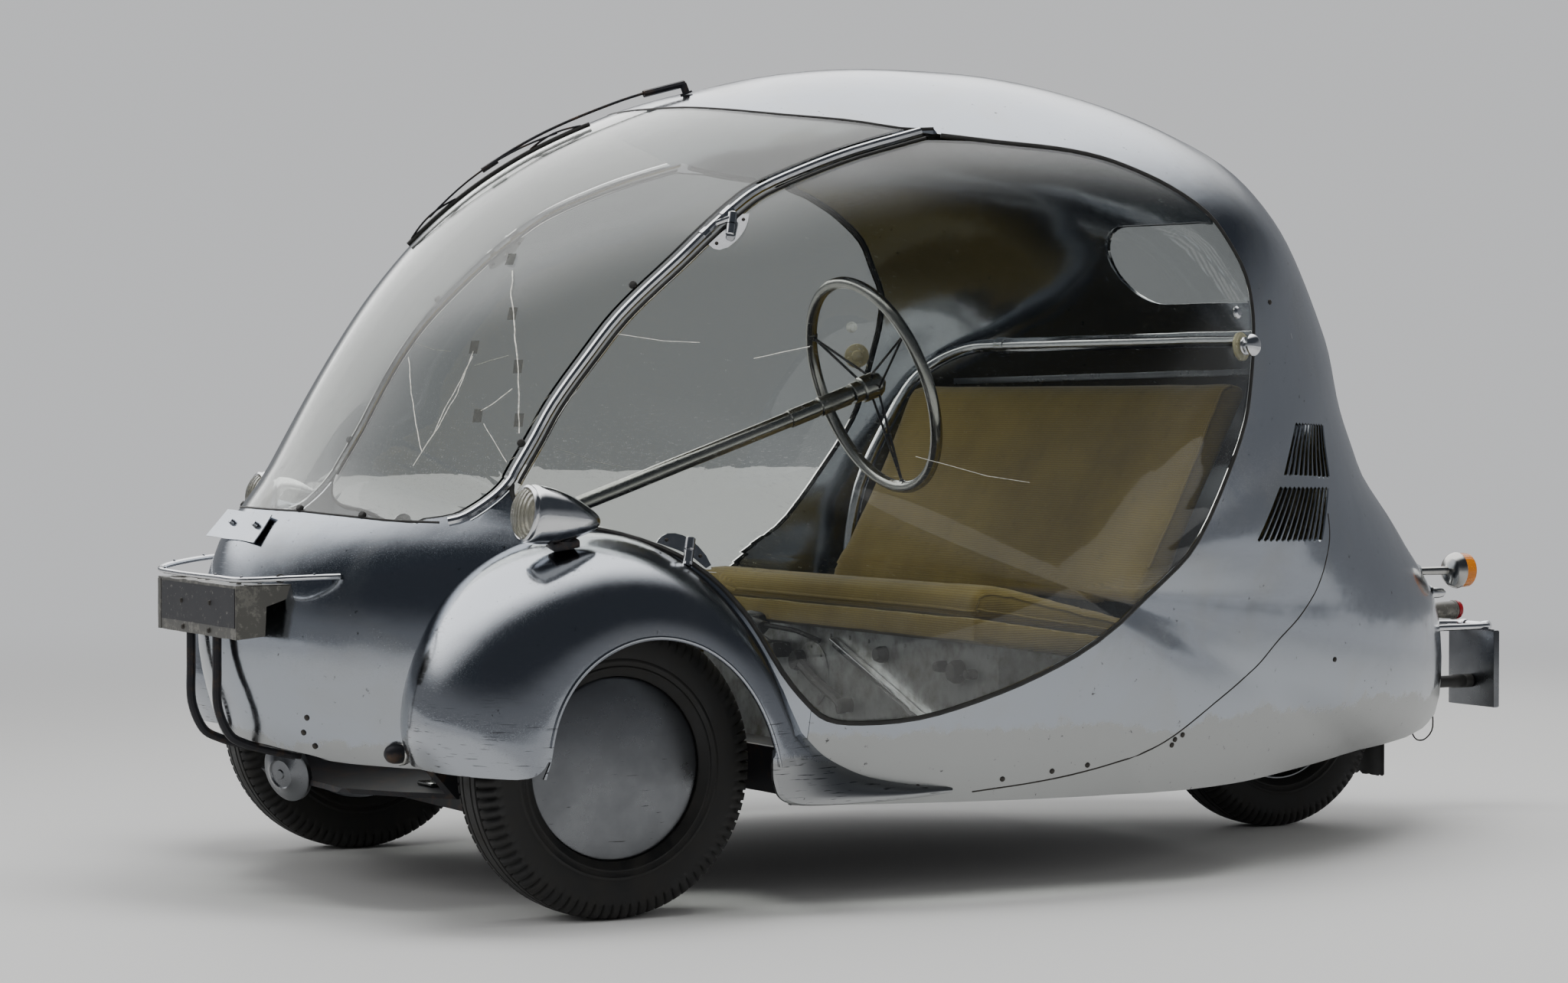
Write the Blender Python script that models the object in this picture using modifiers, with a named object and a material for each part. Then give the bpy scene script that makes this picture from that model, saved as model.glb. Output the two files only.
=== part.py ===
# Three wheeled car: an egg shaped body of sheet metal and clear panels on two
# steered front wheels and one driven rear wheel.
# Metres, +Z up, front towards -Y, the driver's side is +X.
# Heights are from the ground. Tables give y from the front axle.
from collections import namedtuple
from math import asin, atan2, cos, degrees, hypot, pi, radians, sin

import bmesh
import bpy
import numpy as np
from mathutils import Matrix, Vector

for old_object in list(bpy.data.objects):
    bpy.data.objects.remove(old_object, do_unlink=True)

car = bpy.data.collections.new("three_wheeled_car")
bpy.context.scene.collection.children.link(car)
cutters = bpy.data.collections.new("cutters")
bpy.context.scene.collection.children.link(cutters)

# Overall places
front_axle_y = -0.7468
wheelbase = 1.472
track = 0.928
front_wheel_radius = 0.210
rear_wheel_radius = 0.200
tyre_width = 0.100
front_axle_z = 0.210
rear_axle_z = 0.200

# Walls and clearances
metal_wall = 0.008
clear_wall = 0.005
fender_wall = 0.004
floor_wall = 0.008
base_wall = 0.006
seat_gap = 0.0004
skin_gap = 0.0006
moving_gap = 0.006

# Material name, colour, metallic share and roughness
Finish = namedtuple("Finish", "colour metallic roughness")
finishes = {
    "hammered_aluminium": Finish((0.62, 0.63, 0.65, 1.0), 1.0, 0.25),
    "dull_aluminium": Finish((0.50, 0.51, 0.52, 1.0), 1.0, 0.50),
    "chrome": Finish((0.80, 0.80, 0.82, 1.0), 1.0, 0.08),
    "acrylic": Finish((0.80, 0.85, 0.85, 0.35), 0.0, 0.05),
    "tyre_rubber": Finish((0.02, 0.02, 0.02, 1.0), 0.0, 0.80),
    "black_rubber": Finish((0.03, 0.03, 0.03, 1.0), 0.0, 0.60),
    "dark_steel": Finish((0.12, 0.12, 0.10, 1.0), 1.0, 0.50),
    "seat_cloth": Finish((0.33, 0.27, 0.08, 1.0), 0.0, 0.90),
    "amber_lens": Finish((0.80, 0.35, 0.05, 0.8), 0.0, 0.20),
    "red_lens": Finish((0.50, 0.03, 0.03, 0.8), 0.0, 0.20),
    "lamp_glass": Finish((0.85, 0.83, 0.70, 0.5), 0.0, 0.10),
    "plate_white": Finish((0.75, 0.75, 0.72, 1.0), 0.0, 0.40),
}


def own_material(obj, finish_name):
    finish = finishes[finish_name]
    material = bpy.data.materials.new(obj.name + "_" + finish_name)
    material.use_nodes = True
    surface = material.node_tree.nodes["Principled BSDF"]
    surface.inputs["Base Color"].default_value = finish.colour
    surface.inputs["Metallic"].default_value = finish.metallic
    surface.inputs["Roughness"].default_value = finish.roughness
    obj.data.materials.clear()
    obj.data.materials.append(material)


def from_axle(x, y, z):
    return Vector((x, y + front_axle_y, z))


def object_of(name, mesh, home=car):
    obj = bpy.data.objects.new(name, mesh)
    home.objects.link(obj)
    if home is cutters:
        obj.hide_render = True
        obj.display_type = "WIRE"
    return obj


def object_of_bmesh(name, shape, home=car):
    bmesh.ops.recalc_face_normals(shape, faces=shape.faces)
    mesh = bpy.data.meshes.new(name)
    shape.to_mesh(mesh)
    shape.free()
    return object_of(name, mesh, home)


def baked(obj, nested=False):
    # Modifiers and the matrix go into the mesh, and the object stands at the origin
    bpy.context.view_layer.update()
    graph = bpy.context.evaluated_depsgraph_get()
    graph.update()
    mesh = bpy.data.meshes.new_from_object(obj.evaluated_get(graph))
    mesh.transform(obj.matrix_world)
    name = obj.name
    home = obj.users_collection[0]
    bpy.data.objects.remove(obj, do_unlink=True)
    shape = bmesh.new()
    shape.from_mesh(mesh)
    bmesh.ops.remove_doubles(shape, verts=shape.verts, dist=merge_distance)
    bmesh.ops.dissolve_degenerate(shape, edges=shape.edges, dist=merge_distance)
    if not nested:
        bmesh.ops.recalc_face_normals(shape, faces=shape.faces)
    shape.to_mesh(mesh)
    shape.free()
    mesh.name = name
    return object_of(name, mesh, home)


merge_distance = 0.00002


def combine(obj, other, operation):
    cut = obj.modifiers.new(operation, "BOOLEAN")
    cut.operation = operation
    cut.solver = "EXACT"
    cut.object = other
    return baked(obj)


def added(obj, *others):
    for other in others:
        obj = combine(obj, other, "UNION")
        bpy.data.objects.remove(other, do_unlink=True)
    return obj


def box(name, low, high, home=car, edge=0.0):
    shape = bmesh.new()
    bmesh.ops.create_cube(shape, size=1.0)
    size = [high[i] - low[i] for i in range(3)]
    middle = [(high[i] + low[i]) / 2 for i in range(3)]
    bmesh.ops.scale(shape, vec=size, verts=shape.verts)
    bmesh.ops.translate(shape, vec=from_axle(*middle), verts=shape.verts)
    if edge:
        bmesh.ops.bevel(shape, geom=shape.edges[:], offset=edge, segments=2, profile=0.5,
                        affect="EDGES")
    return object_of_bmesh(name, shape, home)


def prism(name, outline, along, low, high, home=car):
    # The outline is closed, in the two axes that are not the one it is drawn out along
    shape = bmesh.new()
    corners = []
    for first, second in outline:
        place = {"x": (low, first, second), "y": (first, low, second), "z": (first, second, low)}
        corners.append(shape.verts.new(from_axle(*place[along])))
    face = shape.faces.new(corners)
    grown = bmesh.ops.extrude_face_region(shape, geom=[face])
    step = high - low
    move = {"x": (step, 0, 0), "y": (0, step, 0), "z": (0, 0, step)}[along]
    tops = [item for item in grown["geom"] if isinstance(item, bmesh.types.BMVert)]
    bmesh.ops.translate(shape, vec=move, verts=tops)
    return object_of_bmesh(name, shape, home)


def turned(name, profile, middle, axis, steps, home=car):
    # profile is (radius, place along the axis) from the top down, closed on the axis
    shape = bmesh.new()
    rows = [shape.verts.new((radius, 0, along)) for radius, along in profile]
    for first, second in zip(rows[:-1], rows[1:]):
        shape.edges.new((first, second))
    mesh = bpy.data.meshes.new(name)
    shape.to_mesh(mesh)
    shape.free()
    obj = object_of(name, mesh, home)
    screw = obj.modifiers.new("turn", "SCREW")
    screw.steps = steps
    screw.render_steps = steps
    screw.use_merge_vertices = True
    screw.merge_threshold = 0.0001
    turn = Vector((0, 0, 1)).rotation_difference(Vector(axis)).to_matrix().to_4x4()
    obj.matrix_world = Matrix.Translation(from_axle(*middle)) @ turn
    return baked(obj)


def tube(name, points, radius, home=car, closed=False, resolution=2):
    curve = bpy.data.curves.new(name, "CURVE")
    curve.dimensions = "3D"
    spline = curve.splines.new("POLY")
    spline.points.add(len(points) - 1)
    for place, point in zip(spline.points, points):
        place.co = (*from_axle(*point), 1.0)
    spline.use_cyclic_u = closed
    curve.bevel_depth = radius
    curve.bevel_resolution = resolution
    curve.use_fill_caps = not closed
    obj = object_of(name, curve, home)
    bpy.context.view_layer.update()
    graph = bpy.context.evaluated_depsgraph_get()
    mesh = bpy.data.meshes.new_from_object(obj.evaluated_get(graph))
    bpy.data.objects.remove(obj, do_unlink=True)
    return baked(object_of(name, mesh, home))


def smooth_path(points, pieces):
    # Rounds a path through its points
    path = []
    count = len(points)
    for index in range(count - 1):
        before = Vector(points[max(index - 1, 0)])
        start = Vector(points[index])
        end = Vector(points[index + 1])
        after = Vector(points[min(index + 2, count - 1)])
        for piece in range(pieces):
            share = piece / pieces
            path.append(tuple(
                0.5 * ((2 * start) + (end - before) * share
                       + (2 * before - 5 * start + 4 * end - after) * share ** 2
                       + (3 * start - before - 3 * end + after) * share ** 3)))
    path.append(tuple(points[-1]))
    return path


inset_share = 0.93


def grown_outline(outline, distances):
    # Moves a closed outline outwards point by point, or inwards where a distance is negative
    count = len(outline)
    area = sum(outline[i][0] * outline[(i + 1) % count][1]
               - outline[(i + 1) % count][0] * outline[i][1] for i in range(count))
    side = 1 if area > 0 else -1
    result = []
    for index in range(count):
        before = Vector(outline[index - 1])
        here = Vector(outline[index])
        after = Vector(outline[(index + 1) % count])
        first = (here - before).normalized()
        second = (after - here).normalized()
        outward = Vector((first.y + second.y, -first.x - second.x)).normalized() * side
        lean = max(0.5, outward.dot(Vector((first.y, -first.x)) * side))
        result.append(here + outward * distances[index] / lean)
    # Points of an inward move that come too near another stretch are left out
    kept_points = []
    for point in result:
        clear = True
        for index in range(count):
            start = Vector(outline[index])
            end = Vector(outline[(index + 1) % count])
            run = end - start
            share = min(1.0, max(0.0, (point - start).dot(run) / run.length_squared))
            wanted = -min(distances[index], distances[(index + 1) % count]) * inset_share
            if wanted > 0 and (point - start - run * share).length < wanted:
                clear = False
        if clear:
            kept_points.append(tuple(point))
    return kept_points


# Egg skin: rows round a cross axis, from level backwards, up, level forwards and down
# reach is the centre line's distance from the axis, squareness the plan's exponent
SkinRow = namedtuple("SkinRow", "angle_deg reach squareness")
skin_axis_y = 0.650
skin_axis_z = 0.450
skin_half_width = 0.655
tail_table_reach = 0.822
tail_shift = wheelbase - skin_axis_y - tail_table_reach
skin_rows = [
    SkinRow(-60, 0.760, 2.20),
    SkinRow(-51, 0.786, 2.18),
    SkinRow(-34, 0.811, 2.10),
    SkinRow(-22, 0.960, 1.80),
    SkinRow(-17, 1.110, 1.65),
    SkinRow(-13, 1.165, 1.60),
    SkinRow(-5, 1.140, 1.60),
    SkinRow(3, 1.018, 1.75),
    SkinRow(12, 0.905, 1.95),
    SkinRow(20, 0.885, 2.00),
    SkinRow(28, 0.897, 2.05),
    SkinRow(38, 0.897, 2.20),
    SkinRow(48, 0.876, 2.50),
    SkinRow(60, 0.828, 2.85),
    SkinRow(75, 0.802, 2.65),
    SkinRow(90, 0.788, 2.43),
    SkinRow(105, 0.790, 2.20),
    SkinRow(120, 0.815, 2.00),
    SkinRow(135, 0.857, 1.87),
    SkinRow(150, 0.897, 1.75),
    SkinRow(162, 0.937, 1.63),
    SkinRow(170, 0.975, 1.65),
    SkinRow(177, 1.035, 1.75),
    SkinRow(184, 1.062, 1.85),
    SkinRow(192, 1.045, 1.95),
    SkinRow(202, 0.960, 2.10),
    SkinRow(220, 0.780, 2.20),
    SkinRow(250, 0.690, 2.20),
    SkinRow(270, 0.680, 2.20),
    SkinRow(290, 0.700, 2.20),
    SkinRow(300, 0.760, 2.20),
]


def skin_row_at(angle):
    angles = [row.angle_deg for row in skin_rows]
    angle = (angle + 60) % 360 - 60
    index = max(i for i in range(len(angles)) if angles[i] <= angle)
    index = min(index, len(angles) - 2)
    span = angles[index + 1] - angles[index]
    share = (angle - angles[index]) / span

    def blend(column):
        values = [row[column] for row in skin_rows]
        slopes = []
        for place in (index, index + 1):
            if place in (0, len(values) - 1):
                slopes.append(0)
                continue
            rise = (values[place + 1] - values[place]) / (angles[place + 1] - angles[place])
            fall = (values[place] - values[place - 1]) / (angles[place] - angles[place - 1])
            slopes.append(0 if rise * fall <= 0 else 2 * rise * fall / (rise + fall))
        start, end = values[index], values[index + 1]
        return (start * (2 * share ** 3 - 3 * share ** 2 + 1)
                + end * (3 * share ** 2 - 2 * share ** 3)
                + slopes[0] * span * (share ** 3 - 2 * share ** 2 + share)
                + slopes[1] * span * (share ** 3 - share ** 2))

    # The tail's rows reach back as far as the rear wheel needs
    return blend(1) + tail_shift * max(0.0, cos(radians(angle))) ** 2, blend(2)


def skin_point(angle, tilt, inset=0.0):
    reach, squareness = skin_row_at(angle)
    out = abs(sin(radians(tilt))) ** (2 / squareness)
    away = abs(cos(radians(tilt))) ** (2 / squareness)
    x = (skin_half_width - inset) * out * (1 if tilt > 0 else -1)
    radius = (reach - inset) * away
    return (x, skin_axis_y + radius * cos(radians(angle)),
            skin_axis_z + radius * sin(radians(angle)))


def skin_x(y, z):
    # The skin's x at a place of the side view
    angle = degrees(atan2(z - skin_axis_z, y - skin_axis_y))
    reach, squareness = skin_row_at(angle)
    share = min(1.0, hypot(y - skin_axis_y, z - skin_axis_z) / reach)
    return skin_half_width * (1 - share ** squareness) ** (1 / squareness)


skin_angle_step = 7.5
skin_tilt_step = 7.5


def skin_solid(name, inset=0.0, home=cutters):
    shape = bmesh.new()
    turns = int(round(360 / skin_angle_step))
    rows = int(round(180 / skin_tilt_step))
    rings = []
    for row in range(1, rows):
        tilt = -90 + row * skin_tilt_step
        if abs(tilt) < 0.001:
            tilt = 0.0001
        rings.append([shape.verts.new(from_axle(*skin_point(turn * skin_angle_step, tilt, inset)))
                      for turn in range(turns)])
    ends = [shape.verts.new(from_axle(side * (skin_half_width - inset), skin_axis_y, skin_axis_z))
            for side in (-1, 1)]
    for first, second in zip(rings[:-1], rings[1:]):
        for turn in range(turns):
            after = (turn + 1) % turns
            shape.faces.new((first[turn], first[after], second[after], second[turn]))
    for end, ring in ((ends[0], rings[0]), (ends[1], rings[-1])):
        for turn in range(turns):
            shape.faces.new((end, ring[turn], ring[(turn + 1) % turns]))
    bmesh.ops.triangulate(shape, faces=shape.faces, quad_method="FIXED")
    return object_of_bmesh(name, shape, home)


def skin_shell(name, wall):
    outer = skin_solid(name, 0.0, car)
    shell = outer.modifiers.new("wall", "SOLIDIFY")
    shell.thickness = wall
    shell.offset = -1
    shell.use_even_offset = True
    return baked(outer, nested=True)


def cut(obj, *tools):
    for tool in tools:
        obj = combine(obj, tool, "DIFFERENCE")
    return obj


def kept(obj, *tools):
    for tool in tools:
        obj = combine(obj, tool, "INTERSECT")
    return obj


def largest(obj):
    # Leaves out the slivers that trimming cuts off
    shape = bmesh.new()
    shape.from_mesh(obj.data)
    left = set(shape.verts)
    islands = []
    while left:
        seed = left.pop()
        island = {seed}
        border = [seed]
        while border:
            here = border.pop()
            for edge in here.link_edges:
                other = edge.other_vert(here)
                if other in left:
                    left.remove(other)
                    island.add(other)
                    border.append(other)
        islands.append(island)
    islands.sort(key=len)
    for island in islands[:-1]:
        bmesh.ops.delete(shape, geom=list(island), context="VERTS")
    shape.to_mesh(obj.data)
    shape.free()
    return obj


# Outlines seen from the side, y and z
pillar_line = [(-0.084, 0.607), (-0.077, 0.619), (-0.046, 0.668), (-0.019, 0.714), (0.016, 0.766),
               (0.060, 0.824), (0.101, 0.867), (0.158, 0.918), (0.206, 0.960), (0.255, 0.998),
               (0.297, 1.025), (0.363, 1.054), (0.445, 1.084), (0.552, 1.115)]
pillar_foot_line = [(-0.190, 0.545), (-0.155, 0.552), (-0.128, 0.567), (-0.102, 0.587)]
door_top_line = [(0.656, 1.103), (0.751, 1.095), (0.819, 1.083), (0.871, 1.065), (0.923, 1.040),
                 (0.977, 1.002), (1.007, 0.958), (1.032, 0.908), (1.036, 0.860)]
door_rear_line = [(1.031, 0.814), (1.017, 0.745), (0.999, 0.685), (0.955, 0.609), (0.888, 0.513),
                  (0.819, 0.455), (0.694, 0.371), (0.600, 0.326), (0.506, 0.293), (0.415, 0.270)]
door_front_line = [(0.331, 0.265), (0.280, 0.272), (0.248, 0.296), (0.212, 0.340), (0.170, 0.415),
                   (0.125, 0.475), (0.075, 0.512), (0.012, 0.535), (-0.045, 0.546),
                   (-0.078, 0.562), (-0.088, 0.585)]
pillar_path = smooth_path([(y, z) for y, z in pillar_line], 3)
other_path = smooth_path([pillar_line[-1]] + door_top_line + door_rear_line + door_front_line
                         + [pillar_line[0]], 2)[1:-1]
door_outline = pillar_path + other_path

# Roof's front edge seen from above, x and y
roof_edge = [(0.000, 0.250), (0.070, 0.266), (0.127, 0.296), (0.193, 0.336), (0.257, 0.389),
             (0.320, 0.461), (0.375, 0.529), (0.392, 0.575)]
cowl_top_z = 0.550
cowl_foot_line = [(-0.480, 0.262), (-0.400, 0.240), (-0.320, 0.216), (-0.230, 0.204), (0.300, 0.190)]
body_foot_line = [(0.200, 0.150), (0.900, 0.143)]
body_foot_line += [(y + tail_shift, z) for y, z in (
    (1.200, 0.147), (1.400, 0.153), (1.560, 0.163), (1.700, 0.177), (1.780, 0.190), (1.900, 0.210))]
far = 1.300
pillar_radius = 0.007


def roof_ahead(name, distance):
    # Everything ahead of the roof's edge, moved forwards by the distance
    edge = [(x, y - distance) for x, y in roof_edge]
    left = [(far, edge[-1][1])] + edge[::-1]
    right = [(-x, y) for x, y in left[::-1]][1:]
    outline = [(-far, -far), (far, -far)] + left + right
    return prism(name, outline, "z", skin_axis_z, far + skin_axis_z, cutters)


door_cutters = {}
pillar_seat = 0.0015
screen_path = smooth_path(pillar_foot_line + pillar_line, 2)
pillar_foot = 1


def screen_prism(name, distance):
    # Everything ahead of the pillars and above the cowl, moved back by the distance
    path = [(y, z) for y, z in screen_path]
    moved = []
    for index, place in enumerate(path):
        before = Vector(path[max(index - 1, 0)])
        after = Vector(path[min(index + 1, len(path) - 1)])
        run = (after - before).normalized()
        moved.append((place[0] + run.y * distance, place[1] - run.x * distance))
    outline = [(-far, cowl_top_z - distance), (moved[0][0] - 0.01, cowl_top_z - distance)]
    outline += [point for point in moved if point[1] > cowl_top_z - distance]
    outline += [(moved[-1][0] + 0.05, moved[-1][1] + 0.01), (moved[-1][0] + 0.05, far),
                (-far, far)]
    return prism(name, outline, "x", -far, far, cutters)


def pillar_band(name, half):
    # Strip of the side view that a pillar's tube lies in
    path = screen_path[pillar_foot:]
    sides = ([], [])
    for index, place in enumerate(path):
        before = Vector(path[max(index - 1, 0)])
        after = Vector(path[min(index + 1, len(path) - 1)])
        run = (after - before).normalized()
        end = -half if index == 0 else 0.0
        sides[0].append((place[0] + run.y * half + run.x * end, place[1] - run.x * half + run.y * end))
        sides[1].append((place[0] - run.y * half + run.x * end, place[1] + run.x * half + run.y * end))
    return prism(name, sides[0] + sides[1][::-1], "x", -far, far, cutters)


DoorCut = namedtuple("DoorCut", "label pillar_side other_side")
for label, pillar_side, other_side in (
        DoorCut("glass", pillar_radius + pillar_seat, 0.0),
        DoorCut("door", -pillar_radius - moving_gap, -moving_gap),
        DoorCut("body", 0.0, 0.0)):
    grown = grown_outline(door_outline, [pillar_side] * len(pillar_path)
                          + [other_side] * len(other_path))
    for side, name in ((1, "left"), (-1, "right")):
        low, high = (0.15, far) if side > 0 else (-far, -0.15)
        door_cutters[label, name] = prism("door_cutter_" + label + "_" + name, grown, "x",
                                          low, high, cutters)

# Body: rear, roof and sills in one shell
sill_front_y = 0.262
rear_window_half = 0.248
rear_window_low = 0.885
rear_window_high = 1.020
ahead_low = prism("ahead_low", [(-far, -far), (sill_front_y, -far), (sill_front_y, 0.29),
                                (0.30, skin_axis_z + 0.01), (-far, skin_axis_z + 0.01)],
                  "x", -far, far, cutters)
ahead_high = roof_ahead("ahead_high", 0.0)
below_body = prism("below_body", [(0.0, -far), (2 * far, -far), (2 * far, body_foot_line[-1][1])]
                   + body_foot_line[::-1] + [(0.0, body_foot_line[0][1])], "x", -far, far, cutters)


def slot_outline(half, low, high, pieces=6):
    radius = (high - low) / 2
    middle = (high + low) / 2
    outline = []
    for side in (1, -1):
        for piece in range(pieces + 1):
            angle = radians(-90 + 180 * piece / pieces) if side > 0 else \
                radians(90 + 180 * piece / pieces)
            outline.append((side * (half - radius) + radius * cos(angle),
                            middle + radius * sin(angle)))
    return outline


window_cutter = prism("window_cutter", slot_outline(rear_window_half, rear_window_low,
                                                    rear_window_high), "y", 1.05, far * 2, cutters)
body = skin_shell("body_shell", metal_wall)
body = cut(body, below_body, ahead_low, ahead_high, window_cutter,
           door_cutters["body", "left"], door_cutters["body", "right"])
largest(body)
own_material(body, "hammered_aluminium")

# Rear window pane fills the opening
pane_cutter = prism("pane_cutter", slot_outline(rear_window_half - seat_gap,
                                                rear_window_low + seat_gap,
                                                rear_window_high - seat_gap),
                    "y", 1.05, far * 2, cutters)
pane = kept(skin_shell("rear_window", clear_wall), pane_cutter)
own_material(pane, "acrylic")

# Windscreen: between the roof, the pillars and the cowl
glass_front = roof_ahead("glass_front", seat_gap)
windscreen = skin_shell("windscreen", clear_wall)
windscreen = kept(windscreen, glass_front, screen_prism("glass_side", -pillar_radius - seat_gap))
windscreen = cut(windscreen, door_cutters["glass", "left"], door_cutters["glass", "right"])
largest(windscreen)
own_material(windscreen, "acrylic")

# Cowl: nose panel under the windscreen, open over the wheels
wheel_well_radius = 0.240
wheel_well_x = 0.330
cowl_back_y = 0.255
above_cowl = screen_prism("above_cowl", -pillar_radius + seat_gap)
below_cowl = prism("below_cowl", [(-far, -far), (far, -far), (far, cowl_foot_line[-1][1])]
                   + cowl_foot_line[::-1] + [(-far, cowl_foot_line[0][1])], "x", -far, far, cutters)
above_gusset = box("above_gusset", (-far, -far, 0.640), (far, 2 * far, 2 * far), cutters)
behind_cowl = box("behind_cowl", (-far, cowl_back_y, -far), (far, 2 * far, 2 * far), cutters)
wells = []
for side in (1, -1):
    profile = [(0, far), (wheel_well_radius, far), (wheel_well_radius, wheel_well_x),
               (0, wheel_well_x)]
    wells.append(turned("wheel_well_" + ("left" if side > 0 else "right"), profile,
                        (0, 0, front_axle_z), (side, 0, 0), 48, cutters))
cowl = skin_shell("cowl", metal_wall)
cowl = cut(cowl, door_cutters["body", "left"], door_cutters["body", "right"],
           above_gusset, above_cowl, pillar_band("cowl_band", pillar_radius + seat_gap),
           below_cowl, behind_cowl, wells[0], wells[1])
largest(cowl)
own_material(cowl, "hammered_aluminium")

# Fenders: sections round the front axle, angle up from level forwards
FenderRow = namedtuple("FenderRow", "angle_deg crown arch")
fender_rows = [
    FenderRow(1, 0.258, 0.158),
    FenderRow(10, 0.280, 0.153),
    FenderRow(20, 0.293, 0.155),
    FenderRow(36, 0.308, 0.163),
    FenderRow(52, 0.324, 0.171),
    FenderRow(70, 0.329, 0.178),
    FenderRow(90, 0.326, 0.184),
    FenderRow(110, 0.312, 0.186),
    FenderRow(128, 0.298, 0.186),
    FenderRow(145, 0.290, 0.186),
    FenderRow(160, 0.292, 0.188),
    FenderRow(172, 0.305, 0.192),
    FenderRow(182, 0.325, 0.198),
    FenderRow(190, 0.350, 0.215),
]
fender_middle_x = 0.440
fender_spread = 0.172
fender_inner_deg = -50
fender_steps = 9
skin_bury = skin_solid("skin_bury", -skin_gap)
wall_bury = skin_shell("wall_bury", metal_wall + seat_gap)
cutters.objects.link(wall_bury)
car.objects.unlink(wall_bury)
wall_bury.hide_render = True
wall_bury.display_type = "WIRE"


def fender(side, name, grown=0.0, wall_thickness=fender_wall, home=car):
    shape = bmesh.new()
    rings = []
    for row in fender_rows:
        turn = radians(row.angle_deg)
        ring = []
        for step in range(fender_steps + 1):
            lean = radians(fender_inner_deg + (90 - fender_inner_deg) * step / fender_steps)
            radius = row.arch + (row.crown - row.arch) * cos(lean) + grown
            x = fender_middle_x + fender_spread * sin(lean)
            ring.append(shape.verts.new(from_axle(side * x, -radius * cos(turn),
                                                  front_axle_z + radius * sin(turn))))
        rings.append(ring)
    for first, second in zip(rings[:-1], rings[1:]):
        for step in range(fender_steps):
            shape.faces.new((first[step], first[step + 1], second[step + 1], second[step]))
    bmesh.ops.triangulate(shape, faces=shape.faces, quad_method="FIXED")
    bmesh.ops.recalc_face_normals(shape, faces=shape.faces)
    middle = rings[6][5]
    middle.normal_update()
    if middle.normal.z < 0:
        bmesh.ops.reverse_faces(shape, faces=shape.faces)
    mesh = bpy.data.meshes.new(name)
    shape.to_mesh(mesh)
    shape.free()
    obj = object_of(name, mesh, home)
    wall = obj.modifiers.new("wall", "SOLIDIFY")
    wall.thickness = wall_thickness
    wall.offset = -1
    wall.use_even_offset = True
    obj = baked(obj)
    if home is car:
        obj = cut(obj, skin_bury)
        own_material(obj, "hammered_aluminium")
    return obj


fender_bury = {}
bury_depth = 0.030
for side, name in ((1, "left"), (-1, "right")):
    fender(side, "fender_" + name)
    fender_bury[name] = fender(side, "fender_bury_" + name, seat_gap, bury_depth, cutters)

# Pillars: chrome tubes between windscreen and door
for side, name in ((1, "left"), (-1, "right")):
    places = [(side * skin_x(y, z), y, z) for y, z in screen_path[pillar_foot:]]
    pillar = tube("pillar_" + name, places, pillar_radius, resolution=1)
    own_material(pillar, "chrome")

# Doors: one clear panel a side, on two upright hinges
hinge_stand = 0.0125
hinge_top = (skin_x(0.236, 0.972) + hinge_stand, 0.236, 0.972)
hinge_foot = (skin_x(0.105, 0.511) + hinge_stand, 0.105, 0.511)
for side, name in ((1, "left"), (-1, "right")):
    door = skin_shell("door_" + name, clear_wall)
    door = kept(door, door_cutters["door", name])
    own_material(door, "acrylic")

# Hinges: a leaf and half a barrel on the door, and half a barrel on the body
Hinge = namedtuple("Hinge", "name middle body_side leaf")
hinges = [
    Hinge("hinge_top", hinge_top, 1,
          [(0.202, 0.942), (0.212, 0.933), (0.225, 0.936), (0.245, 0.953), (0.260, 0.970),
           (0.268, 0.988), (0.259, 0.987), (0.240, 0.972), (0.220, 0.957)]),
    Hinge("hinge_foot", hinge_foot, -1,
          [(0.071, 0.521), (0.078, 0.527), (0.087, 0.532), (0.097, 0.533), (0.111, 0.528),
           (0.123, 0.515), (0.130, 0.502), (0.132, 0.490), (0.125, 0.486), (0.111, 0.502),
           (0.095, 0.511)]),
]
hinge_axis = (Vector(hinge_top) - Vector(hinge_foot)).normalized()
hinge_radius = 0.007
hinge_half_height = 0.018
barrel_gap = 0.0005
leaf_thickness = 0.003
leaf_depth = 0.010
lug_reach = 0.030
web_start_share = 0.35
web_end_share = 0.95
pillar_bury = {}
for side, name in ((1, "left"), (-1, "right")):
    places = [(side * skin_x(y, z), y, z) for y, z in screen_path[pillar_foot:]]
    pillar_bury[name] = tube("pillar_bury_" + name, places, pillar_radius + seat_gap, cutters,
                             resolution=1)
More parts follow.
